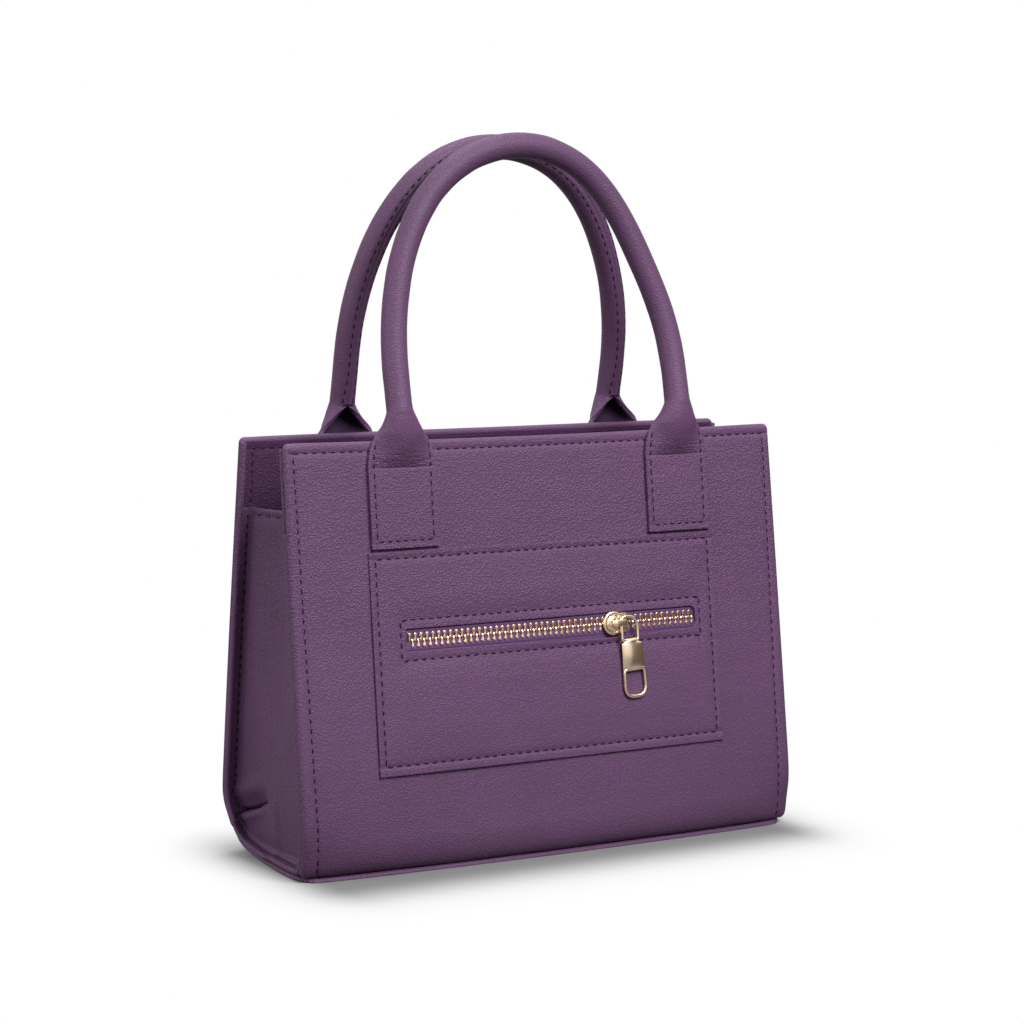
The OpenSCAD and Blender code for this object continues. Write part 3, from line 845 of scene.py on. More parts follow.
def gusset_where(side, depth=FLANGE_N, inset=GUSSET_IN, top=GUSSET_TOP):
    """Lays a gusset: g down the front and up the back, r in from the fold of
    its flange. Also gives where the flange and the turn after it end."""
    # The flange's edge past the panel's, and the radii of its turn and hem
    edge, corner, hem = -0.25, 2.4, 0.75
    flange = inset - edge - hem - corner
    turn_end = flange + corner * math.pi / 2
    start = down_to(top) + HEM_R

    def where(g, r, n=0):
        g, back = own_face(g)
        front_left = side < 0 and not back
        if g < start:
            out, drop = rolled(start - g, HEM_R)
            g, n = start - out, n - drop
        if r < flange:
            out, drop = rolled(-r, hem)
            raised = n + groove(r - GUSSET_ROW, 0.35) if r >= 0 else 0
            y, z = round_body(g, depth + drop - raised)
            x = half_width(z, front_left) - edge - hem + (out if r < 0 else -r)
        elif r < turn_end:
            bend = (r - flange) / corner
            n += groove(r - GUSSET_ROW, 0.45)
            c, s = math.cos(bend), math.sin(bend)
            y, z = round_body(g, depth - corner * (1 - c) - n * c)
            x = half_width(z, front_left) - inset + corner * (1 - s) + n * s
        else:
            q = min(1, (r - turn_end) / FACE_IN)
            y0, z0 = round_body(g, depth - corner)
            mz = max(z0, POLE_Z)
            y, z = y0 * (1 - q), z0 + (mz - z0) * q
            if g > start:
                n += groove(g - start - HEM_ROW, 0.5, 0.8)
            wide = half_width(z, front_left)
            wide += (half_width(z) - wide) * eased(q * 1.1)
            x = wide - inset - gusset_face(side, y * (1 if back else -1), z, q) + n
        p = sag((side * x, y if back else -y, z))
        if r > 0.4:
            p.x -= side * puckered(p.y, p.z) * min(1, (r - 0.4) / 2)
        return p

    return where, flange, turn_end


class BAG_OT_gussets(PieceOperator, bpy.types.Operator):
    """Side gussets set in between the panels, with flanges and top hems"""

    bl_idname = "bag.gussets"
    bl_label = "Gussets"

    def execute(self, context):
        top = down_to(GUSSET_TOP)
        hem = ((top - 6.5, 2), (top - 1.1, 0.25), (top + HEM_R, 0.5), (top + 3, 2.4))
        base = ((STRAIGHT - 28, 0.7), (STRAIGHT + ARC, 2.2), (HALF_GIRTH, 1))
        along = both_faces(ladder(*hem, *base))
        for name, side in SIDES:
            where, flange, turn_end = gusset_where(side)
            edge = ((-5.4, 3), (-2.36, 0.28), (0, 0.4), (flange, 0.35), (turn_end, 0.2))
            across = ladder(*edge, (turn_end + 5, 0.35), (turn_end + FACE_IN, 1))
            bm = lay(flat_grid(along, across), where)
            made = finished(
                f"{name}_gusset_leather",
                bm,
                body_leather(),
                wall=0.8,
                round_edge=0.2,
                merge=SEAM,
            )
            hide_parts(f"{name}_gusset")
            bm = bmesh.new()
            for over in (0, 2 * HALF_GIRTH):
                ends = [(abs(over - g), GUSSET_ROW) for g in (top + 1.5, STRAIGHT + ARC - 6)]
                sew(bm, where, *ends, n=0.4, seed=3)
            for over in (0, 2 * HALF_GIRTH):
                g = abs(over - top - HEM_R - HEM_ROW)
                sew(bm, where, (g, turn_end), (g, turn_end + 9.6), n=0.4, seed=4)
            finished(f"{name}_gusset_stitches", bm, sewing_thread(), merge=0)
        return {"FINISHED"}


# The rows of stitches along the top and the sides of a facing
FACING_ROW, FACING_SIDE_ROW = 3.6, 100.6


def facing_where(back):
    def where(a, g, n=0):
        n2 = FACING_N - n - groove(g - FACING_ROW, 0.25) - groove(FACING_SIDE_ROW - abs(a), 0.25)
        n2 += 0.25 * uneven((a, g), 22, 9 + back)
        return outside(a, g, n2, back)

    return where


class BAG_OT_inside(PieceOperator, bpy.types.Operator):
    """Leather facings, twill lining and the pocket's pouch"""

    bl_idname = "bag.inside"
    bl_label = "Inside"

    def execute(self, context):
        across = both_ways(ladder((0, 3), (99, 0.5), (103.4, 0.5), (104.4, 1)))
        down = ladder((0.6, 0.5), (5, 2.2), (28.6, 1))
        for name, back in FACES:
            where = facing_where(back)
            bm = lay(flat_grid(across, down), where)
            look = inner_leather_painted_shade()
            made = finished(
                f"{name}_facing_leather", bm, look, wall=0.9, round_edge=0.3
            )
            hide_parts(f"{name}_facing")
            bm = bmesh.new()
            sew(bm, where, (-102, FACING_ROW), (102, FACING_ROW), n=0.4)
            for x in (-FACING_SIDE_ROW, FACING_SIDE_ROW):
                sew(bm, where, (x, 4), (x, 28), n=0.4)
            finished(f"{name}_facing_stitches", bm, sewing_thread(), merge=0)
        self.lining()
        self.pouch()
        return {"FINISHED"}

    def lining(self):
        upper = ((down_to(131), 1.5), (down_to(116), 4))
        lower = ((STRAIGHT - 4, 1.6), (STRAIGHT + ARC, 5), (HALF_GIRTH, 1))
        down = both_faces(ladder(*upper, *lower))

        def wrap(a, g, n):
            g, back = own_face(g)
            share = unit((g - down_to(128.5)) / 8)
            deep = LINING_N - 2.35 * eased(share)
            deep -= share * (0.9 + 0.9 * uneven((a, g), 19, 40 + back))
            return outside(a, g, deep, back)

        across = both_ways(ladder((0, 3.5), (97.4, 1)))
        bm = lay(flat_grid(across, down), wrap)
        made = finished("lining_body", bm, lining_twill(), wall=0.35)
        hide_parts("front_lining", "back_lining")
        top = 129
        along = [g for g in down if own_face(g)[0] > down_to(top)]
        for name, side in SIDES:
            where, flange, turn_end = gusset_where(side, depth=-5.2, inset=GUSSET_IN + 2.2, top=top)
            across = ladder((flange, 0.8), (turn_end, 1), (turn_end + FACE_IN, 1))
            bm = lay(flat_grid(along, across), where)
            made = finished(
                f"lining_{name}", bm, lining_twill(), wall=0.35, merge=SEAM
            )
            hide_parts(f"{name}_lining")

    def pouch(self):
        middle = (WINDOW[0] + WINDOW[1]) / 2
        bm = bmesh.new()
        bmesh.ops.create_cube(bm, size=1)
        bmesh.ops.subdivide_edges(bm, edges=bm.edges, cuts=15, use_grid_fill=True)
        for v in bm.verts:
            a, g, n = v.co.x * 141 + middle, v.co.y * 70, v.co.z * 1.6
            n *= 0.35 + 0.65 * min(1, 8 * (0.5 - abs(v.co.x)), 8 * (0.5 - abs(v.co.y)))
            g += down_to(68)
            v.co = outside(a, g, POUCH_N + n + 0.15 * uneven((a, g), 15, 50))
        made = finished("pocket_pouch", bm, lining_twill())
        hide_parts("pocket_bag")


# Rows of stitches in from the pocket's top and sides, and in from its lower
# edge; out from the ends of the window, and from its long edges
POCKET_ROW, POCKET_LOW_ROW = 2.6, 3.5
WINDOW_ROW, WINDOW_LONG_ROW = 2.1, 3.3


class BAG_OT_pocket(PieceOperator, bpy.types.Operator):
    """Patch pocket on the front with its stitched window"""

    bl_idname = "bag.pocket"
    bl_label = "Pocket"

    def execute(self, context):
        left, right, low, high = POCKET
        x0, x1, tall, corner = WINDOW
        top, end = down_to(high), down_to(low)
        w_top, w_end = down_to(ZIP_Z + tall / 2), down_to(ZIP_Z - tall / 2)
        hem, lip = 4, 3.6
        across = ladder(
            (left, 0.5), (left + hem, 2.4), (x0 - lip, 0.5), (x0, 0.8), (x0 + 4, 2.4),
            (x1 - corner, 0.4), (x1, 0.5), (x1 + lip, 2), (right - hem, 0.5), (right, 1),
        )
        down = ladder(
            (top, 0.5), (top + hem, 2.4), (w_top - lip, 0.5), (w_top, 0.4), (w_top + corner, 1),
            (w_end - corner, 0.4), (w_end, 0.5), (w_end + lip, 2.4), (end - 5, 0.5), (end, 1),
        )
        bm = flat_grid(across, down)
        cut_window(bm, x0, x1, w_top, w_end, corner)

        def where(a, g, n=0):
            rim = min(a - left, right - a, g - top, end - g)
            hole = max(x0 - a, a - x1, w_top - g, g - w_end)
            puff = 0.5 * unit((rim - 3) / 14) * unit((hole - 3) / 8)
            n2 = 0.5 + n + puff + 0.2 * uneven((a, g), 26, 3) * unit(rim / 6)
            for d in (a - left, right - a, g - top):
                n2 += groove(d - POCKET_ROW, 0.35)
            n2 += groove(end - g - POCKET_LOW_ROW, 0.35)
            if 0 < hole < 6:
                side = max(x0 - a, a - x1)
                n2 += groove(side - WINDOW_ROW if side > 0 else hole - WINDOW_LONG_ROW, 0.3)
            if g > (w_top + w_end) / 2 and hole < 2.6:
                # The lower lip of the window gapes beside the slider
                gape = bell((a - 22) / 30) * (1 - max(0, hole) / 2.6)
                g += 1.3 * gape
                n2 += 0.35 * gape
            return outside(a, g, n2)

        lay(bm, where)
        look = body_leather()
        made = finished(
            "pocket_leather", bm, look, wall=1.0, round_edge=0.35, steps=3
        )
        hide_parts("pocket_patch")
        bm = bmesh.new()
        outer = (left + POCKET_ROW, right - POCKET_ROW, top + POCKET_ROW, end - POCKET_LOW_ROW)
        inner = (x0 - WINDOW_ROW, x1 + WINDOW_ROW, w_top - WINDOW_LONG_ROW, w_end + WINDOW_LONG_ROW)
        for (a0, a1, g0, g1), seeds in ((outer, (11, 12, 13)), (inner, (14, 14, 15))):
            for g, seed in zip((g0, g1), seeds):
                sew(bm, where, (a0, g), (a1, g), n=0.47, seed=seed)
            for a in (a0, a1):
                sew(bm, where, (a, g0), (a, g1), n=0.47, seed=seeds[2])
        finished("pocket_stitches", bm, sewing_thread(), merge=0)
        return {"FINISHED"}


# Handles, each one strap rolled from a flat tab to a tube

STRAP = 28.0
STRAP_T = 1.6
# How far the middle of the strap lies off the panel
STRAP_OUT = 0.95
# Rows of stitches, out from the strap's middle: of the tabs, and of the tube;
# and up from a tab's lower end
TAB_ROW, TUBE_ROW, END_ROW = 11.65, 12.1, 2.35
TUBE_R = 3.95
# Heights where a tab ends, its side rows end, its sides leave the panel, the
# strap's edges meet, the tube is round, its cord starts and its arch starts
TAB_LOW = 118.6
SEWN_Z = 157.0
FREE_Z = 160.0
CLOSED_Z = 167.6
ROUND_Z = 168.0
CORD_Z = 172.0
LEG_Z = 178.3
# The front handle leans this much further over the mouth than the back one
FRONT_IN = 2.4
# Half the arch's span and its rise, the power of its curve and its steps
ARCH_A, ARCH_RISE, ARCH_POWER, ARCH_STEPS = 60.0, 86.9, 2 / 2.18, 44
# Half angle of the strap's section at heights above the crease
ROLLED_UP = (
    (148, 0.0), (149.4, 0.14), (151.6, 0.4), (155, 0.76), (157.4, 1.08),
    (160.3, 1.62), (162.3, 1.97), (164.6, 2.36), (166.4, 2.74), (167.8, math.pi - 0.05),
)
# Height and depth of the creases above the sewn tabs
FOLDS = ((149.3, 0.2), (150.3, 0.26), (151.4, 0.2), (152.9, 0.14))


def through(points, at):
    """A smooth value between listed points, without overshoot."""
    if at <= points[0][0]:
        return points[0][1]
    if at >= points[-1][0]:
        return points[-1][1]
    slopes = [(b[1] - a[1]) / (b[0] - a[0]) for a, b in zip(points, points[1:])]
    ends = [slopes[0]] + [
        2 * a * b / (a + b) if a * b > 0 else 0 for a, b in zip(slopes, slopes[1:])
    ] + [slopes[-1]]
    for i, (a, b) in enumerate(zip(points, points[1:])):
        if at <= b[0]:
            h = b[0] - a[0]
            t = (at - a[0]) / h
            return (
                a[1] * (2 * t**3 - 3 * t**2 + 1)
                + ends[i] * h * (t**3 - 2 * t**2 + t)
                + b[1] * (3 * t**2 - 2 * t**3)
                + ends[i + 1] * h * (t**3 - t**2)
            )


def centre_out(z):
    """Distance of a handle's centre line from the middle plane."""
    s = (z - 157.6) / 107.6
    return 28.6 - 17.8 * s - 8.6 * s * (1 - s)


def settled(station, back):
    """A station moved to where the real arch has settled: the front handle's
    right shoulder is pressed in, and its left leg stands a little further out."""
    z, x, tx, tz = station
    turn = math.atan2(z - LEG_Z, abs(x)) if z > LEG_Z else 0
    if x > 0:
        pull = (1.2 if back else 4.4) * bell((turn - 0.84) / 0.45) * min(1, x / 15)
        return z - pull * math.sin(turn), x - pull * math.cos(turn), tx, tz
    shift = (0.6 if back else -1.3) * eased((z - 157) / 12) * (1 - eased((turn - 1.0) / 0.5))
    if back:
        shift *= 1 - eased((z - 175) / 30)
    return z, x + shift, tx, tz


def strap_frame(station, back):
    """Middle of the strap's edges, its directions, half angle and width."""
    z, x, tx, tz = station
    if z <= CREASE_Z:
        y, zz = round_body(down_to(z), STRAP_OUT)
        up = Vector((0, -SIN_L, COS_L)) * math.copysign(1, tz)
        return Vector((x, y, zz)), up, Vector((0, COS_L, SIN_L)), 0.0, STRAP
    width = STRAP - (STRAP - math.tau * TUBE_R) * unit((z - 161) / 9)
    lean_in = 0 if back else FRONT_IN
    slope = (centre_out(z + 0.05) - centre_out(z - 0.05)) / 0.1
    if z < LEG_Z:
        share = eased((z - 156) / 15)
        face = round_body(down_to(z), STRAP_OUT)[0]
        tube = centre_out(z) - TUBE_R - lean_in * eased((z - 156) / 13)
        y = face + (tube - face) * share - 0.5 * bell((z - 163) / 3.2)
        slope = slope * share - (1 - share) * math.tan(LEAN)
    else:
        y = centre_out(z) - TUBE_R - lean_in
    out = Vector((0, 1, -slope)).normalized()
    up = Vector((tx, slope * tz, tz)).normalized()
    return Vector((x, y, z)), up, out, through(ROLLED_UP, z), width


def handle_route():
    """Stations of the left half: height, place along, and direction."""
    tab = ((TAB_LOW, 0.5), (TAB_LOW + 1, 1.1), (CREASE_Z - 2, 0.3))
    rises = ladder(*tab, (CREASE_Z + 5, 0.6), (CLOSED_Z + 1, 1.2), (LEG_Z - 1, 1))
    route = [(z, -ARCH_A, 0, 1) for z in rises]
    power = ARCH_POWER
    for i in range(ARCH_STEPS + 1):
        turn = math.pi / 2 * (i + 0.25) / (ARCH_STEPS + 0.25)
        c, s = (math.cos(turn), math.sin(turn)) if i < ARCH_STEPS else (0, 1)
        dx = ARCH_A * power * c ** (power - 1) * s if c else 1
        dz = ARCH_RISE * power * s ** (power - 1) * c
        route.append((LEG_Z + ARCH_RISE * s**power, -ARCH_A * c**power, dx, dz))
    return route


def handle_point(station, w, n, back):
    """A point of the strap at a station, w across it, raised n."""
    z, x = station[:2]
    origin, up, out, bend, width = strap_frame(station, back)
    side = up.cross(out)
    if bend < 1e-3:
        p = origin + side * (w * width / STRAP) + out * n
    else:
        radius = width / 2 / bend
        turn = w / (STRAP / 2) * bend
        twist = -0.3 * x / ARCH_A * unit((z - 168) / 12)
        across = math.sin(turn) * radius
        raised = (math.cos(turn) - math.cos(bend)) * radius
        if z < ROUND_Z + 3:
            # The front of the tube runs on down and turns in to the crease
            face = round_body(down_to(z), STRAP_OUT)[0]
            full = centre_out(z) + TUBE_R - (0 if back else FRONT_IN)
            share = min(1, (z - CREASE_Z) / (ROUND_Z - CREASE_Z))
            goal = face + (full - face) * (1 - (1 - share) ** 1.6) - origin.y
            change = goal / ((1 - math.cos(bend)) * radius) - 1
            raised *= 1 + change * eased((ROUND_Z + 3 - z) / 5)
        if z < FREE_Z:
            # The sides lie flat on the panel where they are sewn down
            edge = math.sin(bend) * radius
            share = min(1, (FREE_Z - z) / 5)
            raised *= max(0, 1 - (across / edge) ** 2) ** (0.8 * share) if bend < 1.57 else 1
        normal = out * math.cos(turn) + side * math.sin(turn)
        p = origin + out * raised + side * across + normal * n
        if twist:
            centre = origin - out * radius * math.cos(bend)
            p = centre + Matrix.Rotation(twist, 3, up) @ (p - centre)
    return on_side(p, back)


def on_side(p, back):
    """A point given for the back handle, or its mirror on the front."""
    return Vector((p.x, p.y if back else -p.y, p.z))


def handle_where(back):
    half = handle_route()
    stations = half + [(z, -x, tx, -tz) for z, x, tx, tz in reversed(half[:-1])]
    stations = [settled(station, back) for station in stations]

    def where(w, i, n=0):
        i = min(len(stations) - 1, max(0, i))
        low = int(i)
        share = i - low
        station = stations[low]
        if share:
            station = tuple(a + (b - a) * share for a, b in zip(station, stations[low + 1]))
        z, x = station[:2]
        n2 = n + 0.12 * uneven((w, z + x), 9, 11 + back)
        n2 += groove(z - CREASE_Z + 0.1 * uneven((w, 0), 4, 2), 0.3, 0.5)
        for k, (high, depth) in enumerate(FOLDS):
            wave = 0.5 * uneven((w, x), 5, 20 + k)
            n2 += groove(z - high - wave, depth * (0.6 + 0.8 * uneven((w, x), 6, 30 + k)), 0.32)
        if z < SEWN_Z + 0.5:
            n2 += groove(abs(w) - TAB_ROW, 0.3, 0.7)
        n2 += groove(z - TAB_LOW - END_ROW, 0.3, 0.7)
        if z > CLOSED_Z:
            n2 += groove(abs(w) - TUBE_ROW, 0.22, 0.6) - 0.85 * max(0, abs(w) - 13.0)
        return handle_point(station, w, n2, back)

    return where, stations


def sew_along(bm, where, w, first, last, seed, n):
    """A row of stitches that runs along the strap, w across it."""
    rng = random.Random(seed)
    points = [where(w, i) for i in range(first, last + 1)]
    lengths = [0]
    for a, b in zip(points, points[1:]):
        lengths.append(lengths[-1] + (b - a).length)
    count = round(lengths[-1] / STITCH)
    spot = 0
    for k in range(count):
        goal = lengths[-1] * (k + 0.5) / count
        while lengths[spot + 1] < goal:
            spot += 1
        share = (goal - lengths[spot]) / (lengths[spot + 1] - lengths[spot])
        at = first + spot + share
        shift = rng.uniform(-0.08, 0.08)
        put_stitch(bm, where, Vector((w + shift, at, 0)), Vector((0, 1, 0)), n)


class BAG_OT_handles(PieceOperator, bpy.types.Operator):
    """Two handles, each one strap from tab to tab, with its cord"""

    bl_idname = "bag.handles"
    bl_label = "Handles"

    def execute(self, context):
        across = both_ways(ladder((0, 0.8), (9.6, 0.4), (14, 1)))
        for name, back in FACES:
            where, stations = handle_where(back)
            bm = flat_grid(across, range(len(stations)))
            for face in bm.faces:
                # The edges are turned in, so that the backing shows between them
                face.material_index = 2 if abs(face.calc_center_median().x) > 10.8 else 0
            lay(bm, where)
            made = finished(
                f"{name}_handle_leather",
                bm,
                body_leather(),
                body=None,
                wall=STRAP_T,
                round_edge=0.45,
                steps=3,
                back=backing_with_painted_shade(),
            )
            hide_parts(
                f"{name}_handle_roll",
                f"{name}_handle_tab_left",
                f"{name}_handle_tab_right",
            )
            bend_at_crease(made)
            self.stitches(name, back, where, stations)
            self.cord(name, back, stations)
        return {"FINISHED"}

    def stitches(self, name, back, where, stations):
        bm = bmesh.new()
        low, top, closed = (
            next(i for i, s in enumerate(stations) if s[0] > z)
            for z in (TAB_LOW + END_ROW, SEWN_Z, CLOSED_Z)
        )
        last = len(stations) - 1
        proud = STRAP_T / 2 - 0.02
        for w in (-TAB_ROW, TAB_ROW):
            sew_along(bm, where, w, low, top, 5, proud)
            sew_along(bm, where, w, last - top, last - low, 6, proud)
        count = round(2 * TAB_ROW / STITCH) + 1
        for at in (low - 0.5, last - low + 0.5):
            for k in range(count):
                w = TAB_ROW * (2 * (k + 0.5) / count - 1)
                put_stitch(bm, where, Vector((w, at, 0)), Vector((1, 0, 0)), proud)
        for w in (-TUBE_ROW, TUBE_ROW):
            sew_along(bm, where, w, closed, last - closed, 7, proud)
        for at in (closed, last - closed):
            for w in (-13.2, 13.2):
                spot = Vector((w, at + (0.6 if at == closed else -0.6), 0))
                put_stitch(bm, where, spot, Vector((1, 0, 0)), proud + 0.1, 2.6, 0.8)
        look = sewing_thread()
        made = finished(
            f"{name}_handle_stitches", bm, look, body=None, merge=0
        )
        bend_at_crease(made)

    def cord(self, name, back, stations):
        path = [s for s in stations if s[0] > CORD_Z]

        def where(turn, i, n):
            origin, up, out, *_ = strap_frame(path[round(i)], back)
            side = up.cross(out)
            ply = 2.2 + 0.2 * math.cos(3 * (turn + round(i) * 0.35))
            p = origin + out * TUBE_R + (out * math.cos(turn) + side * math.sin(turn)) * ply
            return on_side(p, back)

        bm = capped(lay(flat_grid(round_about(14), range(len(path))), where))
        made = finished(
            f"{name}_handle_filler", bm, cotton_cord(), body=f"{name}_handle"
        )
        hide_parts(f"{name}_handle_cord")


def bend_at_crease(obj):
    """Bakes the piece's transform into its mesh."""
    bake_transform(obj)


# Zipper and its pull, in the face's own directions: x, v up, n out

ZIP_G = down_to(ZIP_Z)
PITCH = 2.46
BAIL_X, _, _ = in_mm(JOINTS["bail_swing"]["pos_m"])
SLIDER_X = BAIL_X - 3.15
# The wire's height off the face, and the place of the bail's lower bar
WIRE_N, PIN_V = 3.4, -6.88
# The bail and the pull hang a little to the left of their places in the frame
BAIL_HANG = Vector((-0.6, 0, 0))
PULL_HANG = Vector((-0.9, 0, 0))
# Distance from the chain's middle, half width and half thickness of a tooth
TOOTH = (
    (-0.55, 0.26, 0.45), (-0.3, 0.46, 0.8), (0.3, 0.5, 0.95),
    (0.85, 0.42, 0.9), (1.35, 0.5, 0.95), (1.75, 0.7, 1.1),
    (2.35, 0.74, 1.15), (2.72, 0.58, 1.0), (2.9, 0.28, 0.6),
)
TEETH = 51
CORNER_STEPS = 6


def squared(turn, power):
    """Cosine and sine of a turn round a circle with flattened sides."""
    return (math.copysign(abs(v) ** power, v) for v in (math.cos(turn), math.sin(turn)))


def on_face(p):
    """A point in the face's own directions."""
    return outside(p.x, ZIP_G - p.y, p.z)


def rounded_path(corners, closed=False):
    """Points along straight runs whose corners are rounded, each corner
    given with its radius."""
    path = []
    count = len(corners)
    for i, (corner, radius) in enumerate(corners):
        corner = Vector(corner)
        if not radius or (not closed and i in (0, count - 1)):
            path.append(corner)
            continue
        before = Vector(corners[i - 1][0]) - corner
        after = Vector(corners[(i + 1) % count][0]) - corner
        start = corner + before.normalized() * radius
        end = corner + after.normalized() * radius
        for k in range(CORNER_STEPS + 1):
            u = k / CORNER_STEPS
            path.append(start * (1 - u) ** 2 + corner * 2 * u * (1 - u) + end * u * u)
    if closed:
        path.append(path[0])
    return path


def sweep(path, lateral, sizes_at, square=1.0, closed=False, sides=12):
    """A bar along a path, with half sizes along the lateral direction and
    across it at every point. A square below 1 flattens its faces."""
    last = len(path) - 1

    def where(turn, i, n):
        i = round(i)
        before = path[i - 1] if i else (path[-2] if closed else path[0])
        after = path[i + 1] if i < last else (path[1] if closed else path[-1])
        up = (after - before).cross(lateral).normalized()
        wide, thick = sizes_at(i) if callable(sizes_at) else sizes_at
        c, s = squared(turn, square)
        return path[i] + lateral * c * wide + up * s * thick

    return capped(lay(flat_grid(round_about(sides), range(len(path))), where))


def lathe(profile, centre, steps=40):
    """A turned form, its profile given as radius and height n."""
    bm = bmesh.new()
    points = [bm.verts.new((r, 0, n)) for r, n in profile]
    line = points + [bm.edges.new(pair) for pair in zip(points, points[1:])]
    turn = {"axis": (0, 0, 1), "cent": (0, 0, 0), "angle": math.tau}
    bmesh.ops.spin(bm, geom=line, steps=steps, use_merge=True, **turn)
    bmesh.ops.remove_doubles(bm, verts=bm.verts, dist=1e-4)
    bmesh.ops.translate(bm, vec=centre, verts=bm.verts)
    return bm


def block(low, high, taper=1, edge=0.25):
    """A bar between two corners, its right end narrower, edges rounded."""
    low, high = Vector(low), Vector(high)
    bm = bmesh.new()
    bmesh.ops.create_cube(bm, size=1)
    lengthwise = [e for e in bm.edges if abs(e.verts[0].co.x - e.verts[1].co.x) > 0.5]
    bmesh.ops.subdivide_edges(bm, edges=lengthwise, cuts=6)
    middle, size = (low + high) / 2, high - low
    for v in bm.verts:
        share = 1 + (taper - 1) * (v.co.x + 0.5)
        v.co = middle + Vector((v.co.x * size.x, v.co.y * size.y * share, v.co.z * size.z))
    sharp = [e for e in bm.edges if e.calc_face_angle(0) > 1]
    bmesh.ops.bevel(
        bm, geom=sharp, offset=edge, segments=3, profile=0.5, affect="EDGES", material=-1
    )
    return bm


def joined(*parts):
    """Several forms as one bmesh, laid on the face."""
    whole = bmesh.new()
    for bm in parts:
        bmesh.ops.recalc_face_normals(bm, faces=bm.faces)
        mesh = bpy.data.meshes.new("part")
        bm.to_mesh(mesh)
        bm.free()
        whole.from_mesh(mesh)
        bpy.data.meshes.remove(mesh)
    for v in whole.verts:
        v.co = on_face(v.co)
    return whole


def recolour(node, look):
    """Gives a piece that the frame brings its finish."""
    for slot in frame["nodes"][node].material_slots:
        slot.material = look


class BAG_OT_zipper(PieceOperator, bpy.types.Operator):
    """Zipper tapes, interlocked teeth and end stops"""

    bl_idname = "bag.zipper"
    bl_label = "Zipper"

    def execute(self, context):
        for name, side in (("upper", 1), ("lower", -1)):
            self.tape(name, side)
            self.teeth(name, side)
        recolour("zipper_end_stops", plated_zinc())
        return {"FINISHED"}

    def tape(self, name, side):
        across = ladder((WINDOW[0] - 5, 2), (WINDOW[1] + 5, 1))
        deep = ladder((0.12, 0.3), (3.9, 0.8), (8.4, 1))

        def where(x, v, n):
            bead = 0.3 * bell((v - 3.3) / 0.45)
            return outside(x, ZIP_G - side * v, -0.35 + bead - 0.45 * max(0, 1 - v / 1.6))

        bm = lay(flat_grid(across, deep), where)
        made = finished(f"tape_{name}", bm, woven_tape(), wall=0.5)
        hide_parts(f"zipper_tape_{name}")

    def teeth(self, name, side):
        one = bmesh.new()
        bmesh.ops.create_cone(one, cap_ends=True, segments=8, radius1=1, radius2=1, depth=1)
        rise = [e for e in one.edges if abs(e.verts[0].co.z - e.verts[1].co.z) > 0.5]
        bmesh.ops.subdivide_edges(one, edges=rise, cuts=len(TOOTH) - 2)
        for v in one.verts:
            out, wide, thick = TOOTH[round((v.co.z + 0.5) * (len(TOOTH) - 1))]
            c, s = squared(math.atan2(v.co.y, v.co.x) + math.pi / 8, 0.7)
            v.co = (c * wide, out * side, s * thick - 0.3)
        mesh = bpy.data.meshes.new("tooth")
        one.to_mesh(mesh)
        one.free()
        bm = bmesh.new()
        first = WINDOW[0] + 1.45 + (PITCH / 2 if side < 0 else 0)
        for k in range(TEETH):
            made = len(bm.verts)
            bm.from_mesh(mesh)
            bm.verts.ensure_lookup_table()
            for v in bm.verts[made:]:
                v.co = on_face(v.co + Vector((first + PITCH * k, 0, 0)))
        bpy.data.meshes.remove(mesh)
        made = finished(f"teeth_{name}", bm, plated_zinc(), merge=0)
        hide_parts(f"zipper_teeth_{name}")


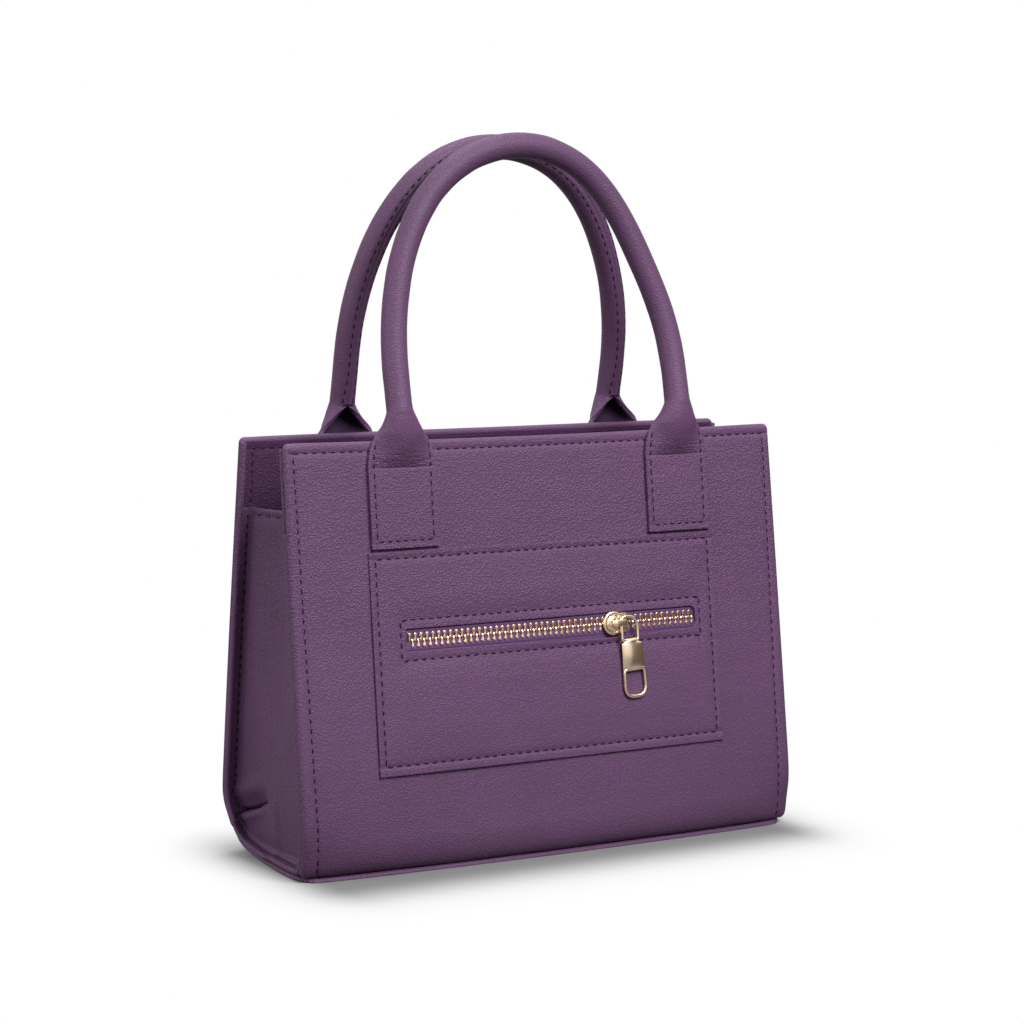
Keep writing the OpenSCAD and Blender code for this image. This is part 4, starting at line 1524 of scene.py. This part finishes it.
class BAG_OT_pull(PieceOperator, bpy.types.Operator):
    """Slider with its bridge, the wire bail and the slotted pull"""

    bl_idname = "bag.pull"
    bl_label = "Slider and pull"

    def execute(self, context):
        self.slider()
        self.bail()
        self.tab()
        return {"FINISHED"}

    def slider(self):
        x = SLIDER_X
        dome = (
            (0, 2.45), (1.4, 2.4), (2.4, 2.2), (2.95, 1.85), (3.2, 1.85), (3.5, 2.05),
            (3.9, 2.12), (4.3, 2.0), (4.55, 1.75), (4.6, 1.5), (4.45, 1.3), (4.1, 1.2),
            (0, 1.2),
        )
        back = ((0, -1.75), (4.1, -1.75), (4.45, -1.95), (4.45, -2.35), (4.1, -2.55), (0, -2.55))
        bridge = rounded_path(
            (
                ((x - 1.7, 0, 2.4), 0),
                ((x - 1.4, 0, 4.8), 1.2),
                ((x + 4.3, 0, 4.8), 1.2),
                ((x + 4.8, 0, 1.7), 0),
            )
        )
        parts = [
            lathe(dome, (x, 0, 0)),
            lathe(back, (x, 0, 0), 28),
            block((x, -3.9, 1.2), (x + 6.3, 3.9, 2.0), taper=0.8),
            block((x, -3.9, -2.55), (x + 6.3, 3.9, -1.75), taper=0.8),
            sweep(bridge, Vector((0, 1, 0)), (1.3, 0.5), square=0.6),
        ]
        for side in (-1, 1):
            low, high = sorted((side * 3.05, side * 3.75))
            parts.append(block((x + 0.8, low, -2.2), (x + 5.9, high, 1.8), edge=0.15))
        bm, look = joined(*parts), plated_zinc()
        made = finished("slider", bm, look, body="slider", merge=0)
        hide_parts("zipper_slider")

    def bail(self):
        left, right, high = BAIL_X, BAIL_X + 7.1, 2.3
        corners = (
            ((left, PIN_V, WIRE_N), 0.7),
            ((left, high, WIRE_N), 1.8),
            ((right, high, WIRE_N), 4.4),
            ((right, PIN_V, WIRE_N), 0.7),
        )
        path = [p + BAIL_HANG for p in rounded_path(corners, closed=True)]
        bm = joined(sweep(path, Vector((0, 0, 1)), (0.66, 0.64), closed=True))
        look = plated_zinc()
        made = finished("bail", bm, look, body="bail", merge=0)
        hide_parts("pull_bail")

    def tab(self):
        pin = Vector((BAIL_X + 3.85, PIN_V, WIRE_N)) + PULL_HANG
        tilt, swing = math.radians(2.6), math.radians(3.5)
        down = Vector((math.sin(swing), -math.cos(swing), -math.tan(tilt))).normalized()
        across = Vector((math.cos(swing), math.sin(swing), 0))
        out = across.cross(-down).normalized()
        # Distance down from the pin, half width and half thickness of the plate
        stations = (
            (-0.8, 2.3, 0.35), (-0.6, 2.7, 0.7), (0.35, 2.9, 0.95),
            (0.7, 3.5, 0.95), (0.95, 4.3, 0.95), (1.6, 4.75, 1.2),
            (6.5, 4.95, 1.3), (10.2, 5.1, 1.2), (11.4, 5.0, 0.6),
        )
        shift = [0.75 * eased(w / 2) for w, _, _ in stations]
        plate = [pin + down * w + across * off for (w, _, _), off in zip(stations, shift)]
        rim = (
            (pin + across * -3.65 + down * 11.05, 1.3),
            (pin + across * 5.2 + down * 11.05, 1.3),
            (pin + across * 5.55 + down * 21.6, 4.2),
            (pin + across * -4.0 + down * 21.6, 4.2),
        )
        brushed = sweep(plate, across, lambda i: stations[i][1:], square=0.97, sides=32)
        loop = rounded_path(rim, closed=True)
        polished = sweep(loop, out, (0.72, 0.72), square=0.8, closed=True)
        for face in polished.faces:
            face.material_index = 1
        made = finished(
            "pull",
            joined(brushed, polished),
            brushed_zinc(),
            body="pull",
            merge=0,
            back=plated_zinc(),
        )
        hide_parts("pull_tab")


class BAG_OT_snap(PieceOperator, bpy.types.Operator):
    """Finish of the magnetic snap inside the mouth"""

    bl_idname = "bag.snap"
    bl_label = "Snap"

    def execute(self, context):
        for name in ("snap_stud_half", "snap_socket_half"):
            recolour(name, satin_nickel())
        return {"FINISHED"}


# The camera, fitted to the corners of the body in the photo
CAMERA_AT = (-527.27, -893.34, 231.41)
PHOTO_PIXELS, FOCAL_PIXELS, SHIFT_PIXELS = 1024, 2718.6, 16.88
SENSOR = 36


class BAG_OT_stage(PieceOperator, bpy.types.Operator):
    """Camera, lamps, world and floor"""

    bl_idname = "bag.stage"
    bl_label = "Stage"

    def execute(self, context):
        scene = context.scene
        scene.view_settings.view_transform = "Standard"
        camera = self.aimed(bpy.data.cameras.new("camera"), CAMERA_AT, 120)
        camera.data.lens = SENSOR * FOCAL_PIXELS / PHOTO_PIXELS
        camera.data.sensor_width = SENSOR
        camera.data.shift_y = SHIFT_PIXELS / PHOTO_PIXELS
        camera.data.clip_start, camera.data.clip_end = 0.05, 20
        scene.camera = camera
        # Name, place in mm, size in m and power in W
        for name, spot, size, power in (
            ("rear", (60, 300, 1300), 0.5, 5.8),
            ("key", (60, -600, 640), 0.5, 7.1),
            ("left", (-1100, 60, 500), 0.8, 4.9),
        ):
            lamp = self.aimed(bpy.data.lights.new(name, "AREA"), spot, 100)
            lamp.data.shape = "DISK"
            lamp.data.size = size
            lamp.data.energy = power
        self.world(scene)
        self.floor()
        self.flag()
        return {"FINISHED"}

    def aimed(self, data, place, height):
        """A camera or lamp turned to a height, in mm, over the origin."""
        obj = bpy.data.objects.new(data.name, data)
        bpy.context.scene.collection.objects.link(obj)
        obj.location = Vector(place) * MM
        obj.rotation_mode = "QUATERNION"
        aim = Vector((0, 0, height)) * MM - obj.location
        obj.rotation_quaternion = aim.to_track_quat("-Z", "Y")
        return obj

    def world(self, scene):
        """White to the camera and in reflections, but a dim light."""
        world = scene.world = bpy.data.worlds.new("studio")
        world.use_nodes = True
        world.node_tree.nodes.clear()
        ray = add(world, "LightPath")
        seen = ray["Is Camera Ray"]
        for other in ("Is Glossy Ray", "Is Transmission Ray"):
            seen = add(world, "Math", {0: seen, 1: ray[other]}, operation="MAXIMUM")[0]
        strength = add(world, "MapRange", dict(zip(RANGE, (seen, 0.0, 1.0, 0.1, 1.0))))[0]
        light = add(world, "Background", {"Color": WHITE, "Strength": strength})[0]
        add(world, "OutputWorld", {"Surface": light})

    def floor(self):
        bm = bmesh.new()
        bmesh.ops.create_circle(bm, cap_ends=True, segments=96, radius=6)
        placed("floor", bm, white_paper())

    def flag(self):
        """A dark sheet to the right of the camera, glowing a dim grey and seen by
        reflections alone: a painted dark reflection, so that the metal and the
        satin of the leather have something to show."""
        bm = bmesh.new()
        bmesh.ops.create_cone(bm, cap_ends=False, segments=64, radius1=0.2, radius2=1.6, depth=0.8)
        gone = []
        for face in bm.faces:
            x, y, _ = face.calc_center_median()
            if not -64 < math.degrees(math.atan2(y, x)) < 20:
                gone.append(face)
        bmesh.ops.delete(bm, geom=gone, context="FACES")
        bmesh.ops.translate(bm, vec=(0, 0, 0.405), verts=bm.verts)
        obj = placed("flag", bm, flag_reflection_glow())
        obj.visible_camera = obj.visible_diffuse = obj.visible_shadow = False


class BAG_PT_panel(bpy.types.Panel):
    bl_idname = "BAG_PT_panel"
    bl_label = "Top handle bag"
    bl_space_type = "VIEW_3D"
    bl_region_type = "UI"
    bl_category = "Bag"

    def draw(self, context):
        for operator in OPERATORS:
            self.layout.operator(operator.bl_idname)


OPERATORS = (
    BAG_OT_panels,
    BAG_OT_base,
    BAG_OT_boards,
    BAG_OT_gussets,
    BAG_OT_inside,
    BAG_OT_pocket,
    BAG_OT_zipper,
    BAG_OT_pull,
    BAG_OT_snap,
    BAG_OT_handles,
    BAG_OT_stage,
)
CLASSES = (BagSizes, BagColours, *OPERATORS, BAG_PT_panel)


def register():
    for cls in CLASSES:
        bpy.utils.register_class(cls)
    bpy.types.Scene.bag_sizes = bpy.props.PointerProperty(type=BagSizes)
    bpy.types.Scene.bag_colours = bpy.props.PointerProperty(type=BagColours)


def unregister():
    del bpy.types.Scene.bag_colours
    del bpy.types.Scene.bag_sizes
    for cls in reversed(CLASSES):
        bpy.utils.unregister_class(cls)


def main():
    register()
    for operator in OPERATORS:
        group, name = operator.bl_idname.split(".")
        getattr(getattr(bpy.ops, group), name)()


if __name__ == "__main__":
    main()
